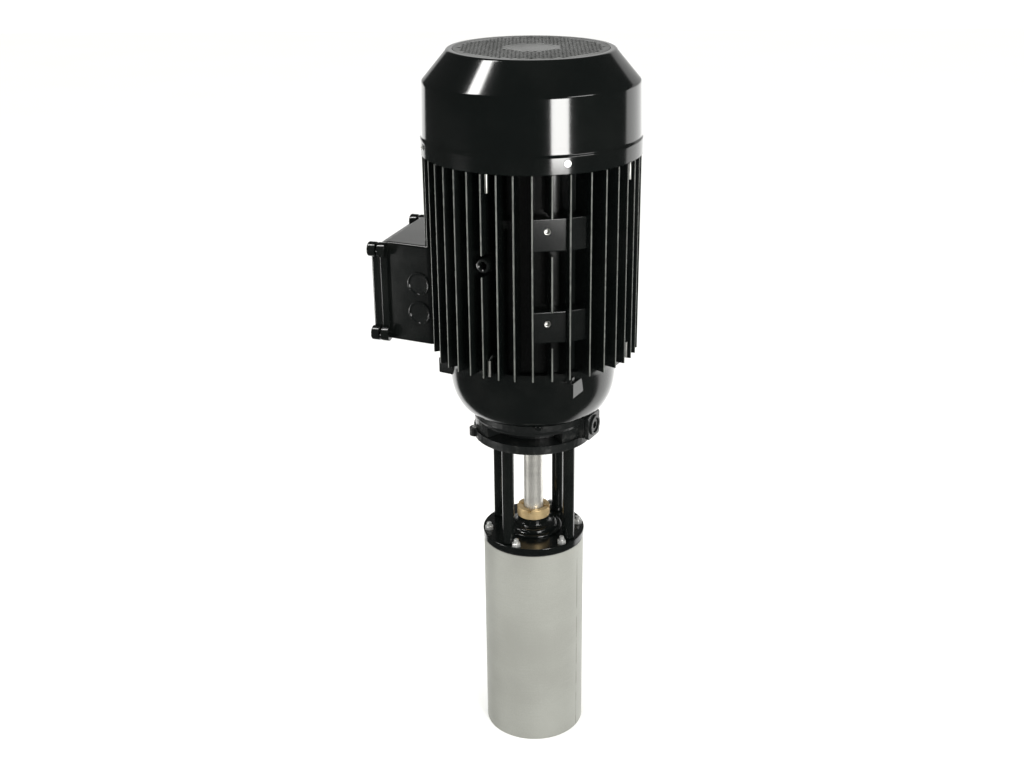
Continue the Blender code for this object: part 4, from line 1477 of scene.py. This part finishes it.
@dataclass
class PumpEnd:
    """The pump end: barrel, flange with its studs, columns, gland and shaft."""

    finishes: Finishes
    fasteners: Fastener
    stud_circle: float = 0.0590
    stud_first_deg: float = -22.5
    nut_flats: float = 0.0100
    stud_r: float = 0.0030
    stud_top: float = 0.0115
    spot_r: float = 0.0068
    spot_depth: float = 0.0032
    seam_deg: float = 60.0
    nut_slot_deg: tuple[float, float] = (75.0, 165.0)

    def barrel(self) -> None:
        """Spin the barrel with eased edges and lay the bead of its seam along it."""
        low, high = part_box("pump_barrel")
        radius, wall, ease = high.x, 0.003, 0.0006
        tube = Workpiece.turned("barrel_tube", [
            (radius - wall, low.z), (radius - ease, low.z), (radius, low.z + ease), (radius, high.z - ease),
            (radius - ease, high.z), (radius - wall, high.z)], 160)
        bead = Workpiece.slab("bead", arc(0.0, 0.0, 0.0016, 0, 330, 11), low.z + 0.0005, high.z - 0.0005)
        bead.bevel(0.0004, 1, 60.0)
        bead.place(Matrix.Diagonal((0.22, 1.0, 1.0, 1.0))).place(radial_frame(self.seam_deg, radius - 0.0003))
        tube.join(bead)
        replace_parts(tube.dress(self.finishes.stainless, Slot.STAINLESS, smooth_deg=40.0), "pump_barrel")

    def flange(self) -> None:
        """Spin the pump flange with eased edges."""
        low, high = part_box("pump_flange")
        radius, ease = high.x, 0.0009
        plate = Workpiece.turned("flange_plate", [
            (SHAFT_WAY_R, low.z), (radius - ease, low.z), (radius, low.z + ease), (radius, high.z - ease),
            (radius - ease * 0.3, high.z - ease * 0.3), (radius - ease, high.z), (SHAFT_WAY_R, high.z)], 120)
        for i in range(6):
            seat = Workpiece.cylinder("spot_face", self.spot_r, high.z - self.spot_depth, high.z + 0.004, 40)
            place = radial_frame(self.stud_first_deg + 60.0 * i, self.stud_circle)
            plate.combine(seat.place(place), "DIFFERENCE")
        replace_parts(plate.dress(self.finishes.paint, Slot.PAINT), "pump_flange")

    def columns(self) -> None:
        """Turn the four columns, each with a small collar at both ends."""
        low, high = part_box("column_1")
        radius = (high.x - low.x) / 2
        neck, ease = radius - 0.0004, 0.0008
        profile = [(0.0, low.z), (radius - ease, low.z), (radius, low.z + ease), (radius, low.z + 0.004),
                   (neck, low.z + 0.005), (neck, high.z - 0.005), (radius, high.z - 0.004),
                   (radius, high.z - ease), (radius - ease, high.z), (0.0, high.z)]
        first = Workpiece.turned("column", profile, 48)
        for i in range(4):
            node = "column_%d" % (i + 1)
            corner_low, corner_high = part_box(node)
            middle = (corner_low + corner_high) / 2
            bar = first.copy("turned_column_%d" % (i + 1), Matrix.Translation((middle.x, middle.y, 0.0)))
            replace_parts(bar.dress(self.finishes.paint, Slot.PAINT), node)
        bpy.data.objects.remove(first.obj, do_unlink=True)

    def gland(self) -> None:
        """Turn the stepped gland housing and the castellated nut."""
        low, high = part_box("gland_housing")
        base, top, neck = low.z, high.z, 0.0208
        steps = [(0.0368, 0.0), (0.0370, 0.0003), (0.0370, 0.0018), (0.0366, 0.0024), (0.0355, 0.0030),
                 (0.0306, 0.0031), (0.0301, 0.0035), (0.0300, 0.0056), (0.0295, 0.0065), (0.0285, 0.0072),
                 (0.0262, 0.0077), (0.0238, 0.0081), (0.0226, 0.0090), (neck + 0.0006, 0.0100),
                 (neck, 0.0112)]
        profile = [(SHAFT_WAY_R, base)] + [(radius, base + rise) for radius, rise in steps]
        housing = Workpiece.turned("gland_body", profile + [(neck, top), (SHAFT_WAY_R, top)], 96)
        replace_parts(housing.dress(self.finishes.paint, Slot.PAINT), "gland_housing")
        low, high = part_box("gland_nut")
        radius, bore, ease = 0.0212, 0.0128, 0.0008
        chamfer = ease * 0.3
        nut = Workpiece.turned("slotted_nut", [
            (bore, low.z), (radius - ease, low.z), (radius - chamfer, low.z + chamfer),
            (radius, low.z + ease), (radius, high.z - ease), (radius - chamfer, high.z - chamfer),
            (radius - ease, high.z),
            (bore + 0.0030, high.z), (bore + 0.0022, high.z - 0.0008), (bore, high.z - 0.0010)], 96)
        for deg in self.nut_slot_deg:
            slot = Workpiece.box("slot", (-0.03, -0.0025, high.z - 0.0035), (0.03, 0.0025, high.z + 0.002))
            nut.combine(slot.place(radial_frame(deg)), "DIFFERENCE")
        nut.bevel(0.0002, 1, 60.0)
        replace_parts(nut.dress(self.finishes.brass, Slot.BRASS), "gland_nut")

    def shaft(self) -> None:
        """Turn the shaft: a ground bar with a fine groove and a centre drilled in its upper end."""
        low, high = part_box("pump_shaft")
        radius, ease, groove, groove_z = 0.0125, 0.001, 0.0004, 0.3290
        bar = Workpiece.turned("ground_shaft", [
            (0.0, low.z), (radius - ease, low.z), (radius, low.z + ease), (radius, groove_z),
            (radius - groove, groove_z + 0.0004), (radius - groove, groove_z + 0.0014),
            (radius, groove_z + 0.0018), (radius, high.z - ease), (radius - ease, high.z),
            (0.0035, high.z), (0.0, high.z - 0.004)], 96)
        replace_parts(bar.dress(self.finishes.steel, Slot.STEEL, TURNING), "pump_shaft")

    def studs(self) -> None:
        """Put six studs with nuts and washers on the pump flange."""
        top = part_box("pump_flange")[1].z - self.spot_depth
        stud = self.fasteners.nut_on_stud("flange_stud", self.nut_flats, self.stud_r, self.stud_top)
        for i in range(6):
            place = radial_frame(self.stud_first_deg + 60.0 * i, self.stud_circle, top)
            stud.copy("flange_stud_%d" % (i + 1), place).dress(self.finishes.zinc, Slot.STEEL)
        bpy.data.objects.remove(stud.obj, do_unlink=True)

    def build(self) -> int:
        """Model the pump end's new pieces and count them."""
        self.barrel()
        self.flange()
        self.columns()
        self.gland()
        self.shaft()
        self.studs()
        return 15


@dataclass
class Studio:
    """Pale floor, bright backdrop, soft boxes and the camera."""

    photo_width: float = 1024.0
    focal_px: float = 1346.0
    eye: tuple[float, float, float] = (0.0, -1.578, 1.144)
    pitch_deg: float = 22.32
    roll_deg: float = -0.29
    shift_px: float = -20.95
    sensor: float = 36.0
    floor_size: float = 14.0
    backdrop_deg: float = 165.0
    backdrop_drop_deg: float = 25.0
    low_radiance: float = 1.9
    high_radiance: float = 0.75
    dark_radiance: float = 0.055
    white_level: float = 1.18

    def floor(self) -> None:
        """Make the pale floor, which the gloss doesn't mirror."""
        Workpiece.deselect()
        bpy.ops.mesh.primitive_plane_add(size=self.floor_size, location=(0.0, 0.0, 0.0))
        floor = bpy.context.active_object
        floor.name = "floor"
        shader = Shader("floor_white")
        speckle = shader.noise(3.0, 3.0, 0.5)
        shader.surface(Base_Color=shader.blend(speckle, grey(0.88, 0.88, 0.87), grey(0.91, 0.91, 0.90)),
                       Roughness=0.9)
        floor.data.materials.append(shader.material)
        floor.visible_glossy = False

    @staticmethod
    def ramp(tree: bpy.types.NodeTree, source: bpy.types.NodeSocket, limits: tuple[float, float],
             values: tuple[float, object]) -> bpy.types.NodeSocket:
        """Add a smooth ramp to the world's nodes.

        Args:
            tree: The world's node tree.
            source: What is ramped.
            limits: Where the ramp starts and ends.
            values: Its value at the start and, as a number or a link, at the end.

        Returns:
            The ramped value.
        """
        made = tree.nodes.new("ShaderNodeMapRange")
        made.interpolation_type = "SMOOTHSTEP"
        tree.links.new(source, made.inputs["Value"])
        made.inputs["From Min"].default_value, made.inputs["From Max"].default_value = limits
        made.inputs["To Min"].default_value = values[0]
        if isinstance(values[1], bpy.types.NodeSocket):
            tree.links.new(values[1], made.inputs["To Max"])
        else:
            made.inputs["To Max"].default_value = values[1]
        return made.outputs["Result"]

    def world(self) -> None:
        """Surround the scene with white, of which the gloss mirrors only the backdrop behind the object."""
        world = bpy.data.worlds.new("studio")
        bpy.context.scene.world = world
        world.use_nodes = True
        tree = world.node_tree
        nodes, links = tree.nodes, tree.links
        level, drop = heading(self.backdrop_deg)[0], math.radians(self.backdrop_drop_deg)
        direction = nodes.new("ShaderNodeTexCoord").outputs["Generated"]
        dot = nodes.new("ShaderNodeVectorMath")
        dot.operation = "DOT_PRODUCT"
        links.new(direction, dot.inputs[0])
        dot.inputs[1].default_value = level * math.cos(drop) - Vector((0.0, 0.0, math.sin(drop)))
        split = nodes.new("ShaderNodeSeparateXYZ")
        links.new(direction, split.inputs[0])
        up, dark = split.outputs["Z"], self.dark_radiance
        brightness = self.ramp(tree, up, (-0.04, 0.06), (self.low_radiance, self.high_radiance))
        brightness = self.ramp(tree, up, (-0.92, -0.78), (dark, brightness))
        mirrored = self.ramp(tree, dot.outputs["Value"], (0.60, 0.65), (dark, brightness))
        seen = nodes.new("ShaderNodeMix")
        links.new(nodes.new("ShaderNodeLightPath").outputs["Is Glossy Ray"], seen.inputs[0])
        seen.inputs[2].default_value = self.white_level
        links.new(mirrored, seen.inputs[3])
        background = nodes["Background"]
        links.new(seen.outputs[0], background.inputs["Strength"])
        background.inputs["Color"].default_value = grey(1.0, 1.0, 0.985)

    def soft_box(self, name: str, place: Sequence[float], target: Sequence[float], width: float,
                 height: float, watts: float) -> None:
        """Hang a rectangular soft box.

        Args:
            name: Its name.
            place: Where its middle is.
            target: The point that it faces.
            width: Its width.
            height: Its height.
            watts: Its power.
        """
        lamp = bpy.data.lights.new(name, "AREA")
        lamp.shape = "RECTANGLE"
        lamp.size = width
        lamp.size_y = height
        lamp.energy = watts
        lamp.color = (1.0, 0.995, 0.975)
        holder = bpy.data.objects.new(name, lamp)
        holder.location = place
        holder.rotation_euler = (Vector(target) - Vector(place)).to_track_quat("-Z", "Y").to_euler()
        bpy.context.scene.collection.objects.link(holder)

    def lights(self) -> None:
        """Hang four soft boxes: one high and one low at the left, one upright and one high at the right."""
        self.soft_box("left_box", (-0.946, -0.09, 2.20), (0.0, 0.0, 0.90), 0.23, 0.60, 12.0)
        self.soft_box("right_box", (0.804, -1.532, 0.71), (0.0, 0.0, 0.71), 0.54, 0.58, 24.0)
        self.soft_box("low_left_box", (-1.67, -0.45, 0.16), (0.0, 0.0, 0.60), 0.60, 0.26, 9.0)
        self.soft_box("high_right_box", (1.45, -1.09, 1.75), (0.0, 0.0, 0.90), 0.90, 0.30, 8.0)

    def camera(self) -> None:
        """Set the camera at the photograph's viewing angle."""
        data = bpy.data.cameras.new("camera")
        data.sensor_width = self.sensor
        data.lens = self.focal_px / self.photo_width * self.sensor
        data.shift_x = self.shift_px / self.photo_width
        holder = bpy.data.objects.new("camera", data)
        holder.matrix_world = (Matrix.Translation(self.eye)
                               @ Matrix.Rotation(math.radians(90.0 - self.pitch_deg), 4, "X")
                               @ Matrix.Rotation(math.radians(self.roll_deg), 4, "Z"))
        bpy.context.scene.collection.objects.link(holder)
        bpy.context.scene.camera = holder

    def build(self) -> None:
        """Set up the studio."""
        self.camera()
        self.floor()
        self.world()
        self.lights()
        bpy.context.scene.view_settings.view_transform = "Standard"


def main() -> None:
    """Load the frame, dress it and add the fine pieces."""
    logging.basicConfig(level=logging.INFO, format="%(name)s: %(message)s")
    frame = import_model()
    Studio().build()
    finishes = Finishes()
    finishes.dress_nodes(frame["nodes"])
    fasteners = Fastener(finishes)
    for maker in (FanCowl, MotorFrame, TerminalBox, DischargeHead, PumpEnd):
        pieces = maker(finishes, fasteners).build()
        LOG.info("%s: %d pieces", maker.__name__, pieces)


if __name__ == "__main__":
    main()
